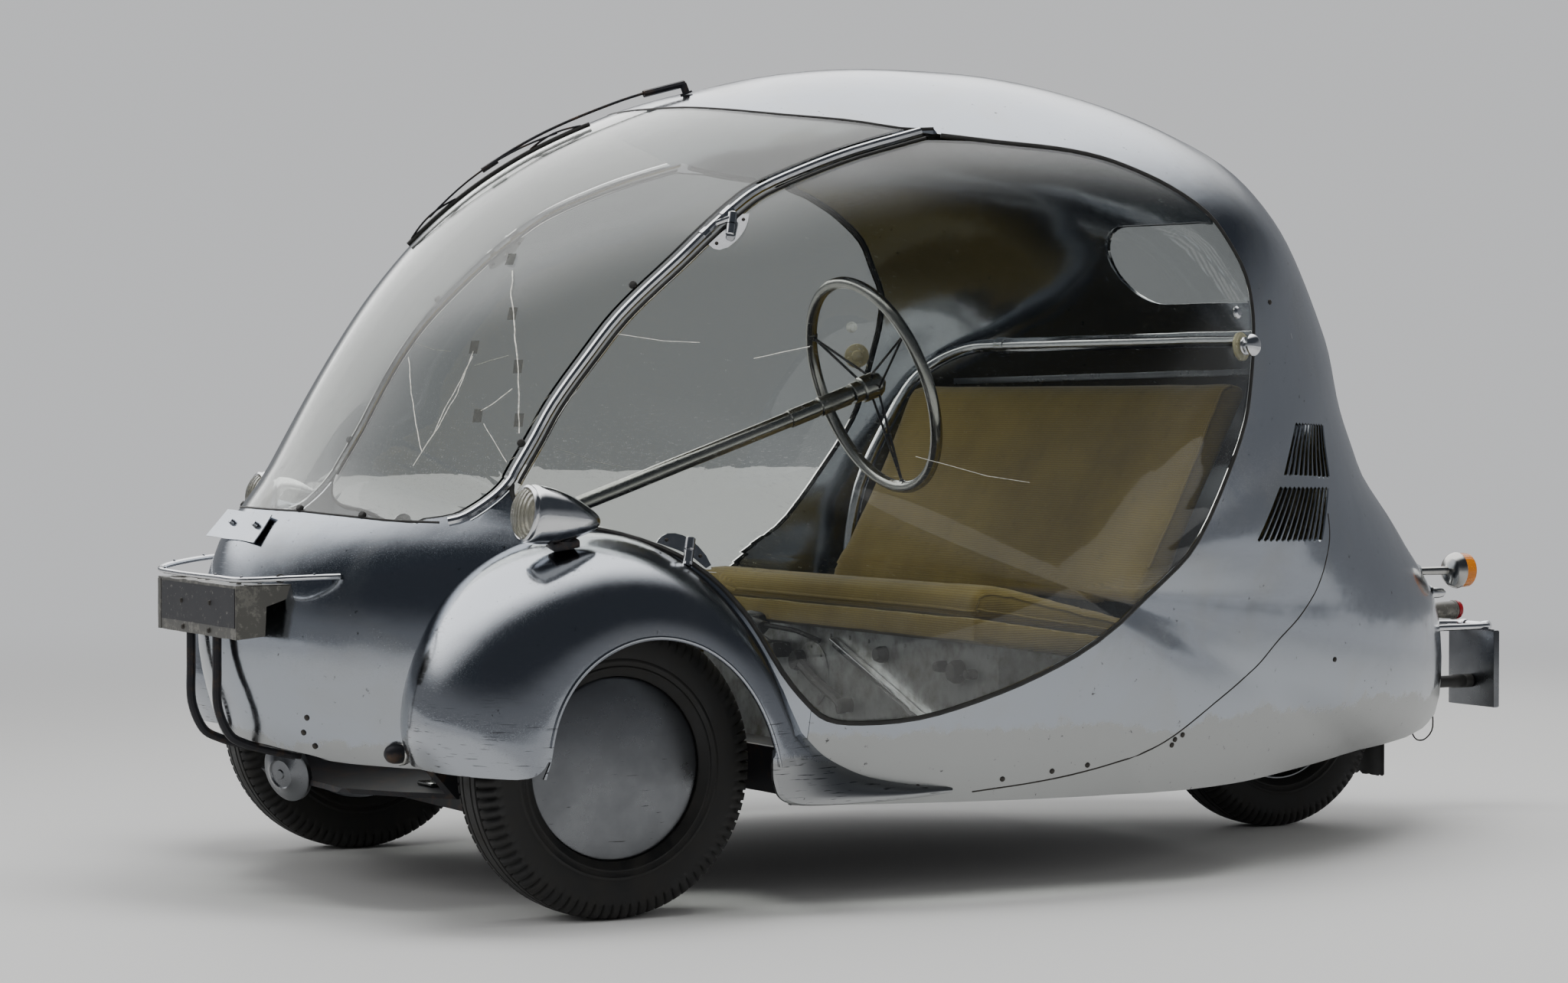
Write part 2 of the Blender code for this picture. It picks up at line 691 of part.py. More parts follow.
for hinge in hinges:
    for side, name in ((1, "left"), (-1, "right")):
        x, y, z = hinge.middle
        middle = (side * x, y, z)
        axis = (side * hinge_axis.x, hinge_axis.y, hinge_axis.z)
        end = -hinge.body_side * hinge_half_height
        start = -hinge.body_side * barrel_gap / 2
        low, high = sorted((start, end))
        barrel = turned(hinge.name + "_" + name, [(0, high), (hinge_radius, high),
                                                  (hinge_radius, low), (0, low)], middle, axis, 16)
        # The leaf lies on the door
        shape = bmesh.new()
        inner = []
        outer = []
        for leaf_y, leaf_z in hinge.leaf:
            leaf_x = skin_x(leaf_y, leaf_z)
            inner.append(shape.verts.new(from_axle(side * (leaf_x - leaf_depth), leaf_y, leaf_z)))
            outer.append(shape.verts.new(from_axle(side * (leaf_x + leaf_thickness), leaf_y,
                                                   leaf_z)))
        count = len(hinge.leaf)
        middle_y = sum(place[0] for place in hinge.leaf) / count
        middle_z = sum(place[1] for place in hinge.leaf) / count
        middle_x = skin_x(middle_y, middle_z)
        inner_middle = shape.verts.new(from_axle(side * (middle_x - leaf_depth), middle_y, middle_z))
        outer_middle = shape.verts.new(from_axle(side * (middle_x + leaf_thickness), middle_y,
                                                 middle_z))
        for index in range(count):
            after = (index + 1) % count
            shape.faces.new((inner[index], inner[after], outer[after], outer[index]))
            shape.faces.new((inner_middle, inner[after], inner[index]))
            shape.faces.new((outer_middle, outer[index], outer[after]))
        leaf = object_of_bmesh("leaf", shape)
        # A web under the barrel reaches the leaf
        web_low, web_high = sorted((end * web_end_share, end * web_start_share))
        web = turned("web", [(0, web_high), (0.0045, web_high), (0.0045, web_low), (0, web_low)],
                     (side * (x - 0.008), y + 0.004, z), axis, 10)
        low, high = sorted((hinge.body_side * barrel_gap / 2, hinge.body_side * lug_reach))
        barrel_bury = turned("barrel_bury", [(0, high), (hinge_radius + barrel_gap, high),
                                             (hinge_radius + barrel_gap, low), (0, low)],
                             middle, axis, 16, cutters)
        barrel = added(barrel, web, leaf)
        barrel = largest(cut(barrel, skin_bury, pillar_bury[name], barrel_bury))
        barrel.name = hinge.name + "_" + name
        own_material(barrel, "chrome")
        # The body's half barrel, with a lug to the pillar or to the fender
        end = hinge.body_side * hinge_half_height
        start = hinge.body_side * barrel_gap / 2
        if hinge.body_side > 0:
            low, high = sorted((start, end))
            bracket = turned("bracket", [(0, high), (hinge_radius, high), (hinge_radius, low),
                                         (0, low)], middle, axis, 16)
            lug_y = y - lug_reach
            lug = box("lug", (min(side * (x - 0.020), side * (x + 0.001)), lug_y, z + 0.003),
                      (max(side * (x - 0.020), side * (x + 0.001)), y, z + 0.014))
            bracket = cut(added(bracket, lug), skin_bury, pillar_bury[name])
        else:
            bracket = turned("bracket", [(0, start), (hinge_radius, start),
                                         (hinge_radius, -lug_reach), (0, -lug_reach)],
                             middle, axis, 16)
            bracket = cut(bracket, skin_bury, fender_bury[name])
        bracket = largest(bracket)
        bracket.name = hinge.name.replace("hinge", "bracket") + "_" + name
        own_material(bracket, "chrome")

# Door knobs
knob_y = 1.002
knob_z = 0.800
knob_radius = 0.017
for side, name in ((1, "left"), (-1, "right")):
    x = skin_x(knob_y, knob_z)
    slope = Vector((1.0, (skin_x(knob_y - 0.01, knob_z) - skin_x(knob_y + 0.01, knob_z)) / 0.02,
                    (skin_x(knob_y, knob_z - 0.01) - skin_x(knob_y, knob_z + 0.01)) / 0.02))
    slope.normalize()
    profile = [(0, 0.026), (knob_radius * 0.6, 0.024), (knob_radius, 0.017), (knob_radius, 0.012),
               (0.008, 0.008), (0.008, 0.004), (0.014, 0.003), (0.014, -0.004), (0, -0.004)]
    knob = turned("door_knob_" + name, profile, (side * x, knob_y, knob_z),
                  (side * slope.x, slope.y, slope.z), 20)
    knob = cut(knob, skin_bury)
    own_material(knob, "chrome")

# Floor: a pan, with a narrower footwell between the front wheels
floor_low = 0.158
floor_half = 0.520
arm_front_y = wheelbase - 0.257
motor_back_y = arm_front_y - 0.065
floor_back_y = motor_back_y + 0.030
foot_half = 0.310
foot_front_y = -0.270
foot_wall_top = 0.480
pan = prism("floor", [(-foot_half, foot_front_y), (foot_half, foot_front_y),
                      (foot_half, 0.265), (floor_half, 0.275), (floor_half, floor_back_y - 0.230),
                      (0.36, floor_back_y), (-0.36, floor_back_y), (-floor_half, floor_back_y - 0.230),
                      (-floor_half, 0.275), (-foot_half, 0.265)],
            "z", floor_low, floor_low + floor_wall)
for side in (1, -1):
    low_x, high_x = sorted((side * foot_half, side * (foot_half - floor_wall)))
    wall = prism("wall", [(foot_front_y, floor_low + 0.001), (0.262, floor_low + 0.001),
                          (0.262, 0.230), (0.20, 0.330), (0.12, 0.410), (0.02, foot_wall_top - 0.02),
                          (foot_front_y, foot_wall_top)], "x", low_x, high_x)
    pan = added(pan, wall)
for side in (1, -1):
    low_x, high_x = sorted((side * (foot_half - 0.001), side * 0.585))
    wall = box("back_wall", (low_x, 0.266, floor_low + 0.001), (high_x, 0.266 + floor_wall, 0.225))
    pan = added(pan, wall)
pan = largest(cut(pan, wall_bury))
pan.name = "floor"
own_material(pan, "dull_aluminium")

# Front axle beam with a kingpin at each end
kingpin_x = 0.378
kingpin_radius = 0.013
beam_low = 0.105
beam_high = 0.140
beam_half_depth = 0.022
boss_radius = 0.020
beam = box("front_axle", (-kingpin_x, -beam_half_depth, beam_low),
           (kingpin_x, beam_half_depth, beam_high))
for side in (1, -1):
    boss = turned("boss", [(0, beam_high + 0.004), (boss_radius, beam_high + 0.004),
                           (boss_radius, beam_low - 0.004), (0, beam_low - 0.004)],
                  (side * kingpin_x, 0, 0), (0, 0, 1), 20)
    beam = added(beam, boss)
beam_posts = 0.150
for side in (1, -1):
    post = box("post", (side * beam_posts - 0.020, -0.020, beam_high - 0.002),
               (side * beam_posts + 0.020, 0.020, floor_low - seat_gap))
    beam = added(beam, post)
beam.name = "front_axle"
own_material(beam, "dark_steel")

# Knuckles: an upright on the beam's end and a stub axle for the wheel
stub_radius = 0.011
knuckle_top = 0.300
wheel_x = track / 2
bore_gap = 0.0005
hub_inner_x = wheel_x - 0.020
for side, name in ((1, "left"), (-1, "right")):
    upright = turned("knuckle_" + name, [(0, knuckle_top), (kingpin_radius, knuckle_top),
                                         (kingpin_radius, beam_high + 0.006),
                                         (0, beam_high + 0.0045)],
                     (side * kingpin_x, 0, 0), (0, 0, 1), 20)
    stub = turned("stub", [(0, wheel_x + 0.012), (stub_radius, wheel_x + 0.012),
                           (stub_radius, kingpin_x), (0, kingpin_x)],
                  (0, 0, front_axle_z), (side, 0, 0), 20)
    arm = box("arm", (min(side * kingpin_x - 0.010, side * kingpin_x + 0.010), -0.006, 0.265),
              (max(side * kingpin_x - 0.010, side * kingpin_x + 0.010), 0.110, 0.280))
    upright = added(upright, stub, arm)
    upright.name = "knuckle_" + name
    own_material(upright, "dark_steel")


def tyre(name, radius, bead, middle, steps):
    # Profile runs round the section, from the inner bead over the tread and back
    half = tyre_width / 2
    section = [(bead, half * 0.72), (bead + 0.012, half * 0.92), (bead + 0.035, half),
               (radius - 0.020, half * 0.97), (radius - 0.006, half * 0.80), (radius, half * 0.45),
               (radius, -half * 0.45), (radius - 0.006, -half * 0.80),
               (radius - 0.020, -half * 0.97), (bead + 0.035, -half), (bead + 0.012, -half * 0.92),
               (bead, -half * 0.72), (bead, half * 0.72)]
    obj = turned(name, section, middle, (1, 0, 0), steps)
    own_material(obj, "tyre_rubber")
    return obj


def wheel(name, rim, middle, outward, cover_radius, cover_rise, steps):
    # A disc that fills the tyre's bead, with a domed cover outboard and a blind bore inboard
    half = tyre_width / 2
    edge = half * 0.70
    bore = stub_radius + bore_gap
    profile = [(0, edge * 0.55 + cover_rise), (cover_radius * 0.35, edge * 0.55 + cover_rise * 0.94),
               (cover_radius * 0.65, edge * 0.55 + cover_rise * 0.70),
               (cover_radius * 0.88, edge * 0.55 + cover_rise * 0.30),
               (cover_radius, edge * 0.55), (rim - 0.012, edge * 0.62), (rim, edge), (rim, -edge),
               (rim - 0.010, -edge), (rim - 0.020, -edge * 0.30), (0.045, -edge * 0.30),
               (0.040, -hub_reach), (bore, -hub_reach), (bore, 0.014), (0, 0.014)]
    obj = turned(name, profile, middle, (outward, 0, 0), steps)
    own_material(obj, "dull_aluminium")
    return obj


hub_reach = 0.040
front_bead = 0.128
rear_bead = 0.118
front_cover_radius = 0.112
front_cover_rise = 0.022
rear_cover_radius = 0.085
rear_cover_rise = 0.016
tyre_steps = 40
wheel_steps = 32
for side, name in ((1, "left"), (-1, "right")):
    middle = (side * wheel_x, 0, front_axle_z)
    tyre("tyre_front_" + name, front_wheel_radius, front_bead + seat_gap, middle, tyre_steps)
    wheel("wheel_front_" + name, front_bead, middle, side, front_cover_radius, front_cover_rise,
          wheel_steps)

# Rear wheel, its swing arm and axle
rear_middle = (0, wheelbase, rear_axle_z)
tyre("tyre_rear", rear_wheel_radius, rear_bead + seat_gap, rear_middle, tyre_steps)
rear_bore = stub_radius + bore_gap
rear_half = tyre_width / 2 * 0.70
hub_half = 0.052
rear_profile = [(rear_bore, hub_half), (0.030, hub_half), (0.034, rear_half * 0.6),
                (rear_cover_radius, rear_half * 0.5), (rear_bead - 0.012, rear_half * 0.62),
                (rear_bead, rear_half), (rear_bead, -rear_half), (rear_bead - 0.012, -rear_half * 0.62),
                (rear_cover_radius, -rear_half * 0.5), (0.034, -rear_half * 0.6),
                (0.030, -hub_half), (rear_bore, -hub_half), (rear_bore, hub_half)]
rear_wheel = turned("wheel_rear", rear_profile, rear_middle, (1, 0, 0), wheel_steps)
own_material(rear_wheel, "dull_aluminium")

arm_x = 0.075
arm_width = 0.018
arm_height = 0.036
fork = turned("rear_fork", [(0, arm_x + arm_width / 2), (stub_radius, arm_x + arm_width / 2),
                            (stub_radius, -arm_x - arm_width / 2), (0, -arm_x - arm_width / 2)],
              rear_middle, (1, 0, 0), 20)
for side in (1, -1):
    low_x, high_x = sorted((side * (arm_x - arm_width / 2), side * (arm_x + arm_width / 2)))
    arm = prism("arm", [(arm_front_y, rear_axle_z - arm_height / 2),
                        (wheelbase + 0.025, rear_axle_z - arm_height / 2),
                        (wheelbase + 0.035, rear_axle_z),
                        (wheelbase + 0.025, rear_axle_z + arm_height / 2),
                        (arm_front_y, rear_axle_z + arm_height / 2)], "x", low_x, high_x)
    fork = added(fork, arm)
bridge = box("bridge", (-0.120, motor_back_y + seat_gap, floor_low + floor_wall + seat_gap),
             (0.120, arm_front_y + 0.006, rear_axle_z + 0.020))
fork = added(fork, bridge)
fork.name = "rear_fork"
own_material(fork, "dark_steel")

# Motor on the floor's rear edge and batteries under the seat
base_front_y = 0.640
base_back_y = 0.955
battery_front_gap = 0.019
battery_depth = 0.230
battery_height = 0.130
motor_half = 0.100
motor_depth = 0.140
motor_height = 0.170
mass_foot_z = floor_low + floor_wall + seat_gap
motor = box("motor", (-motor_half, motor_back_y - motor_depth, mass_foot_z),
            (motor_half, motor_back_y, floor_low + floor_wall + motor_height), edge=0.010)
own_material(motor, "dark_steel")
battery_half = 0.300
battery = box("battery", (-battery_half, base_front_y + battery_front_gap + base_wall, mass_foot_z),
              (battery_half, base_front_y + battery_front_gap + base_wall + battery_depth,
               floor_low + floor_wall + battery_height), edge=0.006)
own_material(battery, "dark_steel")

# Seat: a metal base whose top falls backwards, a bench cushion and a back
seat_side_gap = 0.185
seat_half = skin_half_width - seat_side_gap
base_top = 0.356
base_fall_share = 0.149
cushion_front_y = 0.597
cushion_back_y = 0.962
cushion_top = 0.450
cushion_round = 0.020
cushion_fall_share = 0.217


def base_z(y):
    return base_top - (y - base_front_y) * base_fall_share


def cushion_z(y):
    return cushion_top - (y - base_front_y) * cushion_fall_share


base = prism("seat_base", [(base_front_y, mass_foot_z), (base_back_y, mass_foot_z),
                           (base_back_y, base_z(base_back_y)), (base_front_y, base_top)],
             "x", -seat_half, seat_half)
hollow_front_y = base_front_y + base_wall
hollow_back_y = base_back_y - base_wall
hollow = prism("seat_base_hollow", [(hollow_front_y, 0.0), (hollow_back_y, 0.0),
                                    (hollow_back_y, base_z(hollow_back_y) - base_wall),
                                    (hollow_front_y, base_z(hollow_front_y) - base_wall)],
               "x", base_wall - seat_half, seat_half - base_wall, cutters)
base = cut(base, hollow)
own_material(base, "dull_aluminium")
cushion = prism("seat_cushion", [
    (cushion_front_y, base_z(cushion_front_y) + seat_gap),
    (cushion_back_y, base_z(cushion_back_y) + seat_gap),
    (cushion_back_y, cushion_z(cushion_back_y) - cushion_round / 2),
    (cushion_back_y - cushion_round / 2, cushion_z(cushion_back_y)),
    (base_front_y, cushion_top), (cushion_front_y + cushion_round, cushion_top),
    (cushion_front_y + cushion_round / 4, cushion_top - cushion_round / 4),
    (cushion_front_y, cushion_top - cushion_round)], "x", -seat_half, seat_half)
own_material(cushion, "seat_cloth")
back = prism("seat_back", [
    (0.863, cushion_z(0.863) + seat_gap * 2), (0.925, cushion_z(0.925) + seat_gap * 2),
    (0.936, 0.404), (0.962, 0.462), (1.040, 0.610), (1.106, 0.738), (1.092, 0.757),
    (1.053, 0.757), (1.036, 0.740), (0.962, 0.585), (0.897, 0.462)], "x", -seat_half, seat_half)
own_material(back, "seat_cloth")
frame_foot_x = seat_half + 0.020
frame_x = seat_half + 0.030
frame_path = [(frame_foot_x, 0.930, floor_low + floor_wall + seat_gap),
              (frame_foot_x, 0.930, 0.300),
              (frame_x, 0.938, 0.432), (frame_x, 0.962, 0.568), (frame_x, 1.020, 0.680),
              (frame_x, 1.068, 0.751), (seat_half + 0.008, 1.112, 0.790),
              (seat_half - 0.045, 1.146, 0.812), (seat_half - 0.120, 1.155, 0.815)]
half_path = smooth_path(frame_path, 3)
near_end = [(seat_half - 0.120, 1.155, 0.815), (seat_half, 1.150, 0.815),
            (skin_half_width - 0.095, 1.140, 0.815)]
seat_frame = tube("seat_frame", [(-x, y, z) for x, y, z in half_path] + near_end, 0.011,
                  resolution=1)
seat_frame = largest(cut(seat_frame, wall_bury))
own_material(seat_frame, "chrome")

# Steering: a column up from the footwell and a rod spoked wheel
column_x = 0.200
column_slope = radians(19.5)
column_head_y = 0.545
column_head_z = 0.7285
column_foot_y = -0.180
column_radius = 0.012
column_rise = (sin(column_slope) / cos(column_slope))
column_axis = (0, cos(column_slope), sin(column_slope))
column_length = (column_head_y - column_foot_y) / cos(column_slope)
column = turned("steering_column", [(0, 0), (column_radius, 0), (column_radius, -column_length),
                                    (0, -column_length)],
                (column_x, column_head_y, column_head_z), column_axis, 20)
post_y = column_foot_y + 0.05
post_z = column_head_z - (column_head_y - post_y) * column_rise
post = box("post", (column_x - 0.010, post_y - 0.015, floor_low + floor_wall + seat_gap),
           (column_x + 0.010, post_y + 0.015, post_z))
column = added(column, post)
column.name = "steering_column"
own_material(column, "chrome")

rim_radius = 0.165
rim_tube = 0.008
hub_stand = 0.040
spoke_radius = 0.004
head = Vector((column_x, column_head_y, column_head_z))
along = Vector(column_axis)
across = Vector((1, 0, 0))
upward = along.cross(across)
rim_middle = head + along * hub_stand
circle = [tuple(rim_middle + (across * cos(2 * pi * i / 48) + upward * sin(2 * pi * i / 48))
                * rim_radius) for i in range(48)]
steering = tube("steering_wheel", circle, rim_tube, closed=True, resolution=1)
hub = turned("hub", [(0, hub_stand + 0.014), (0.016, hub_stand + 0.010), (0.020, hub_stand - 0.010),
                     (0.016, hub_stand - 0.024), (0.016, barrel_gap), (0, barrel_gap)], tuple(head),
             column_axis, 20)
steering = added(steering, hub)
spoke_turn = radians(8)
for index in range(3):
    for lean in (-spoke_turn, spoke_turn):
        turn = radians(90 + 120 * index) + lean
        start_turn = radians(90 + 120 * index) + lean * 0.6
        start = rim_middle + (across * cos(start_turn) + upward * sin(start_turn)) * 0.010
        end = rim_middle + (across * cos(turn) + upward * sin(turn)) * rim_radius
        spoke = tube("spoke", [tuple(start), tuple(end)], spoke_radius, resolution=1)
        steering = added(steering, spoke)
steering.name = "steering_wheel"
own_material(steering, "chrome")

# Headlights: bullet shells on the fenders
lamp_x = 0.515
lamp_y = -0.090
lamp_z = 0.559
lamp_radius = 0.0385
lamp_axis = (0, 0.1150, -0.0140)
for side, name in ((1, "left"), (-1, "right")):
    profile = [(0, 0.060), (lamp_radius * 0.30, 0.056), (lamp_radius * 0.55, 0.046),
               (lamp_radius * 0.80, 0.026), (lamp_radius * 0.94, 0.002),
               (lamp_radius * 0.97, -0.048), (lamp_radius, -0.050), (lamp_radius, -0.055),
               (lamp_radius - 0.004, -0.057), (lamp_radius - 0.006, -0.040), (0, -0.040)]
    shell = turned("headlight_" + name, profile, (side * lamp_x, lamp_y, lamp_z), lamp_axis, 28)
    stalk = turned("stalk", [(0, 0.010), (0.011, 0.010), (0.013, -0.042), (0, -0.042)],
                   (side * lamp_x, lamp_y + 0.002, lamp_z - 0.034), (0, 0, 1), 16)
    shell = added(shell, stalk)
    shell = largest(cut(shell, fender_bury[name]))
    shell.name = "headlight_" + name
    own_material(shell, "chrome")
    rim = lamp_radius - 0.0065
    lens = turned("headlight_lens_" + name,
                  [(0, -0.040 - seat_gap), (rim, -0.040 - seat_gap), (rim, -0.058), (rim * 0.80, -0.066),
                   (rim * 0.45, -0.073), (0, -0.076)],
                  (side * lamp_x, lamp_y, lamp_z), lamp_axis, 28)
    own_material(lens, "lamp_glass")

# Front: blank plate box, the rail over it and the guard tubes under it
front_box_y = -0.430
front_box_low = 0.382
front_box = box("front_plate_box", (-0.165, front_box_y, front_box_low), (0.165, -0.250, 0.460),
                edge=0.005)
front_box = largest(cut(front_box, skin_bury))
front_box.name = "front_plate_box"
own_material(front_box, "dark_steel")
rail = tube("front_rail", smooth_path([(0.215, -0.220, 0.472), (0.232, -0.300, 0.472),
                                       (0.215, -0.370, 0.470), (0.172, -0.424, 0.467),
                                       (0.080, -0.429, 0.467), (-0.080, -0.429, 0.467),
                                       (-0.172, -0.424, 0.467), (-0.215, -0.370, 0.470),
                                       (-0.232, -0.300, 0.472), (-0.215, -0.220, 0.472)], 3),
            0.004, resolution=1)
rail = largest(cut(rail, skin_bury))
own_material(rail, "chrome")
for side, name in ((1, "left"), (-1, "right")):
    guard = tube("guard_tube_" + name, smooth_path([(side * 0.055, -0.418, front_box_low - seat_gap),
                                                   (side * 0.055, -0.418, 0.330),
                                                   (side * 0.055, -0.417, 0.280),
                                                   (side * 0.055, -0.400, 0.240),
                                                   (side * 0.055, -0.375, 0.225),
                                                   (side * 0.055, -0.345, 0.2155),
                                                   (side * 0.055, -0.300, 0.205)], 3), 0.006,
                 resolution=1)
    own_material(guard, "dark_steel")
horn = turned("horn", [(0, 0.030), (0.030, 0.028), (0.045, 0.012), (0.045, 0), (0.020, -0.012),
                       (0, -0.012)], (0.0, foot_front_y - 0.012 - seat_gap, 0.178), (0, -1, 0), 24)
own_material(horn, "dark_steel")

# Rear: blank plate box on a clamped rail, lamps and mud flap
rail_z = 0.327
rail_radius = 0.006
rail_root_y = wheelbase + 0.268
rear_cross_y = wheelbase + 0.447
rail_half = 0.050
rear_rail = tube("rear_rail", smooth_path([
    (rail_half, rail_root_y, rail_z), (rail_half, rear_cross_y - 0.059, rail_z),
    (rail_half - 0.004, rear_cross_y - 0.019, rail_z), (rail_half - 0.020, rear_cross_y, rail_z),
    (0.020 - rail_half, rear_cross_y, rail_z), (0.004 - rail_half, rear_cross_y - 0.019, rail_z),
    (-rail_half, rear_cross_y - 0.059, rail_z), (-rail_half, rail_root_y, rail_z)], 3),
                 rail_radius, resolution=2)
rear_rail = cut(rear_rail, skin_bury)
own_material(rear_rail, "chrome")
rear_box_half = 0.062
rear_box_front = rear_cross_y - 0.008
kit_root_y = wheelbase + 0.228
rear_box_top = rail_z - rail_radius - seat_gap
rear_box = box("rear_plate_box", (-rear_box_half, rear_box_front, 0.185),
               (rear_box_half, rear_box_front + 0.012, rear_box_top), edge=0.002)
own_material(rear_box, "dark_steel")
spacer = turned("rear_spacer", [(0, rear_box_front - seat_gap), (0.012, rear_box_front - seat_gap),
                                (0.012, kit_root_y), (0, kit_root_y)], (0, 0, 0.229), (0, 1, 0), 20)
spacer = cut(spacer, skin_bury)
own_material(spacer, "black_rubber")

# Indicators on stalks and the tail lamp
indicator_y = wheelbase + 0.334
indicator_root_y = wheelbase + 0.188
for side, name in ((1, "left"), (-1, "right")):
    profile = [(0, indicator_y), (0.016, indicator_y - 0.002), (0.026, indicator_y - 0.009),
               (0.029, indicator_y - 0.016), (0.030, indicator_y - 0.022),
               (0.026, indicator_y - 0.034), (0.016, indicator_y - 0.042),
               (0.007, indicator_y - 0.045), (0.007, indicator_root_y), (0, indicator_root_y)]
    lamp = turned("indicator_" + name, profile, (side * 0.120, 0, 0.430), (0, 1, 0), 24)
    lamp = cut(lamp, skin_bury)
    own_material(lamp, "amber_lens")
tail_lamp_y = wheelbase + 0.420
tail_lamp = turned("tail_lamp", [(0, tail_lamp_y), (0.012, tail_lamp_y - 0.002),
                                 (0.017, tail_lamp_y - 0.008), (0.017, kit_root_y),
                                 (0, kit_root_y)], (0, 0, 0.354), (0, 1, 0), 24)
tail_lamp = cut(tail_lamp, skin_bury)
own_material(tail_lamp, "red_lens")

# Mud flap hangs from the tail's inner side
flap_y = wheelbase + 0.208
flap = box("mud_flap", (-0.050, flap_y, 0.206), (0.050, flap_y + 0.180, 0.210))
flap = largest(cut(flap, wall_bury))
flap = added(flap, box("sheet", (-0.050, flap_y, 0.075), (0.050, flap_y + 0.004, 0.208)))
flap.name = "mud_flap"
own_material(flap, "black_rubber")

# Wiper: a bracket on the roof, an arm and a blade on the windscreen's middle
WiperPoint = namedtuple("WiperPoint", "angle_deg x stand")
wiper_arm = [WiperPoint(111.5, 0.034, -0.006), WiperPoint(112.0, 0.034, 0.012),
             WiperPoint(116.0, 0.030, 0.016), WiperPoint(124.0, 0.018, 0.015),
             WiperPoint(134.5, 0.002, 0.009)]
wiper_blade = [WiperPoint(124.0, 0.030, 0.0055), WiperPoint(129.0, 0.017, 0.0055),
               WiperPoint(134.5, 0.002, 0.0055), WiperPoint(140.0, -0.020, 0.0055),
               WiperPoint(145.5, -0.045, 0.0055)]


def skin_place(angle, x, stand):
    # A place that stands off the skin, found from its angle and its x
    squareness = skin_row_at(angle)[1]
    tilt = degrees(asin((abs(x) / skin_half_width) ** (squareness / 2)))
    return skin_point(angle, tilt if x > 0 else -tilt, -stand)


wiper = tube("wiper", [skin_place(*place) for place in wiper_arm], 0.005, resolution=1)
blade = tube("blade", [skin_place(*place) for place in wiper_blade], 0.004, resolution=1)
wiper = largest(cut(added(wiper, blade), skin_bury))
wiper.name = "wiper"
own_material(wiper, "dark_steel")

# Moving pieces have their origin on the joint's axis
Pivot = namedtuple("Pivot", "pieces x y z")
hinge_middle = [(hinge_top[i] + hinge_foot[i]) / 2 for i in range(3)]
pivots = [
    Pivot(("door_", "hinge_top_", "hinge_foot_", "door_knob_"), *hinge_middle),
    Pivot(("knuckle_",), kingpin_x, 0.0, front_axle_z),
    Pivot(("tyre_front_", "wheel_front_"), wheel_x, 0.0, front_axle_z),
]
places = {name: head for name in ("steering_wheel",)}
places.update({name: Vector(rear_middle) for name in ("tyre_rear", "wheel_rear")})
for pivot in pivots:
    for piece in pivot.pieces:
        places[piece + "left"] = Vector((pivot.x, pivot.y, pivot.z))
        places[piece + "right"] = Vector((-pivot.x, pivot.y, pivot.z))
for name, place in places.items():
    obj = car.objects[name]
    origin = from_axle(*place)
    obj.data.transform(Matrix.Translation(-origin))
    obj.location = origin
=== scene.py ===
from math import asin, atan2, cos, degrees, hypot, pi, radians, sin

import bmesh
import bpy
from mathutils import Matrix, Vector, bvhtree, noise


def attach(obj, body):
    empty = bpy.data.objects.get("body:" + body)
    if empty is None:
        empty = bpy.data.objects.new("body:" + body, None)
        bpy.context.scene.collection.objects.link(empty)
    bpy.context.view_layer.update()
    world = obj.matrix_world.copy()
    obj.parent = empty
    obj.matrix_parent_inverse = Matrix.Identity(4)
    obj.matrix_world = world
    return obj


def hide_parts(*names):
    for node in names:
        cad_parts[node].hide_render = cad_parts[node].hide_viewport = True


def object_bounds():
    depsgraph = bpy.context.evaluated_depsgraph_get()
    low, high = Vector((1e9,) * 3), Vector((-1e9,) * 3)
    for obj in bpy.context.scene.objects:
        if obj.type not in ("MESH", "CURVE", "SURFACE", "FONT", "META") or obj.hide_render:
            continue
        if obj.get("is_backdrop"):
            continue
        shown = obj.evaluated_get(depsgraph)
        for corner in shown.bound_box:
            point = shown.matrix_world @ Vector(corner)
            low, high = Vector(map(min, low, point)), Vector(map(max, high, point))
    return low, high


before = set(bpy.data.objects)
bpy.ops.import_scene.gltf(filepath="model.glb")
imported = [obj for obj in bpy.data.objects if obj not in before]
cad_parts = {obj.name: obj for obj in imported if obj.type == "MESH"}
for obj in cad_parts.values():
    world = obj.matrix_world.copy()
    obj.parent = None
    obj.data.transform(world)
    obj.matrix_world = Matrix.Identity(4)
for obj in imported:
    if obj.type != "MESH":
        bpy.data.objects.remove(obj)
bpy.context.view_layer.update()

# Viewpoint of the photograph: level with the steering wheel, off the near front corner.
# Tables below give y from the front axle, and this turns them into the frame's y.
axle_y = -0.7468


def from_axle(x, y, z):
    return Vector((x, y + axle_y, z))


view_data = bpy.data.cameras.new("viewpoint")
view_data.sensor_width = 36.0
view_data.lens = 83.6
view_data.clip_start = 0.1
view_data.clip_end = 80.0
viewpoint = bpy.data.objects.new("viewpoint", view_data)
bpy.context.scene.collection.objects.link(viewpoint)
swing, dip = radians(28.7), radians(1.4)
viewpoint.location = from_axle(5.014, -2.207, 0.716)
viewpoint.rotation_euler = Vector((-cos(swing) * cos(dip), sin(swing) * cos(dip), -sin(dip))) \
    .to_track_quat("-Z", "Y").to_euler()
bpy.context.scene.camera = viewpoint


# Studio: a pale floor that runs out to a pale backdrop, with soft overhead light.
# The backdrop shows to the eye, to metal and to clear panels.
def linear(hex_code):
    values = []
    for start in (1, 3, 5):
        value = int(hex_code[start:start + 2], 16) / 255
        values.append(value / 12.92 if value <= 0.04045 else ((value + 0.055) / 1.055) ** 2.4)
    return (*values, 1.0)


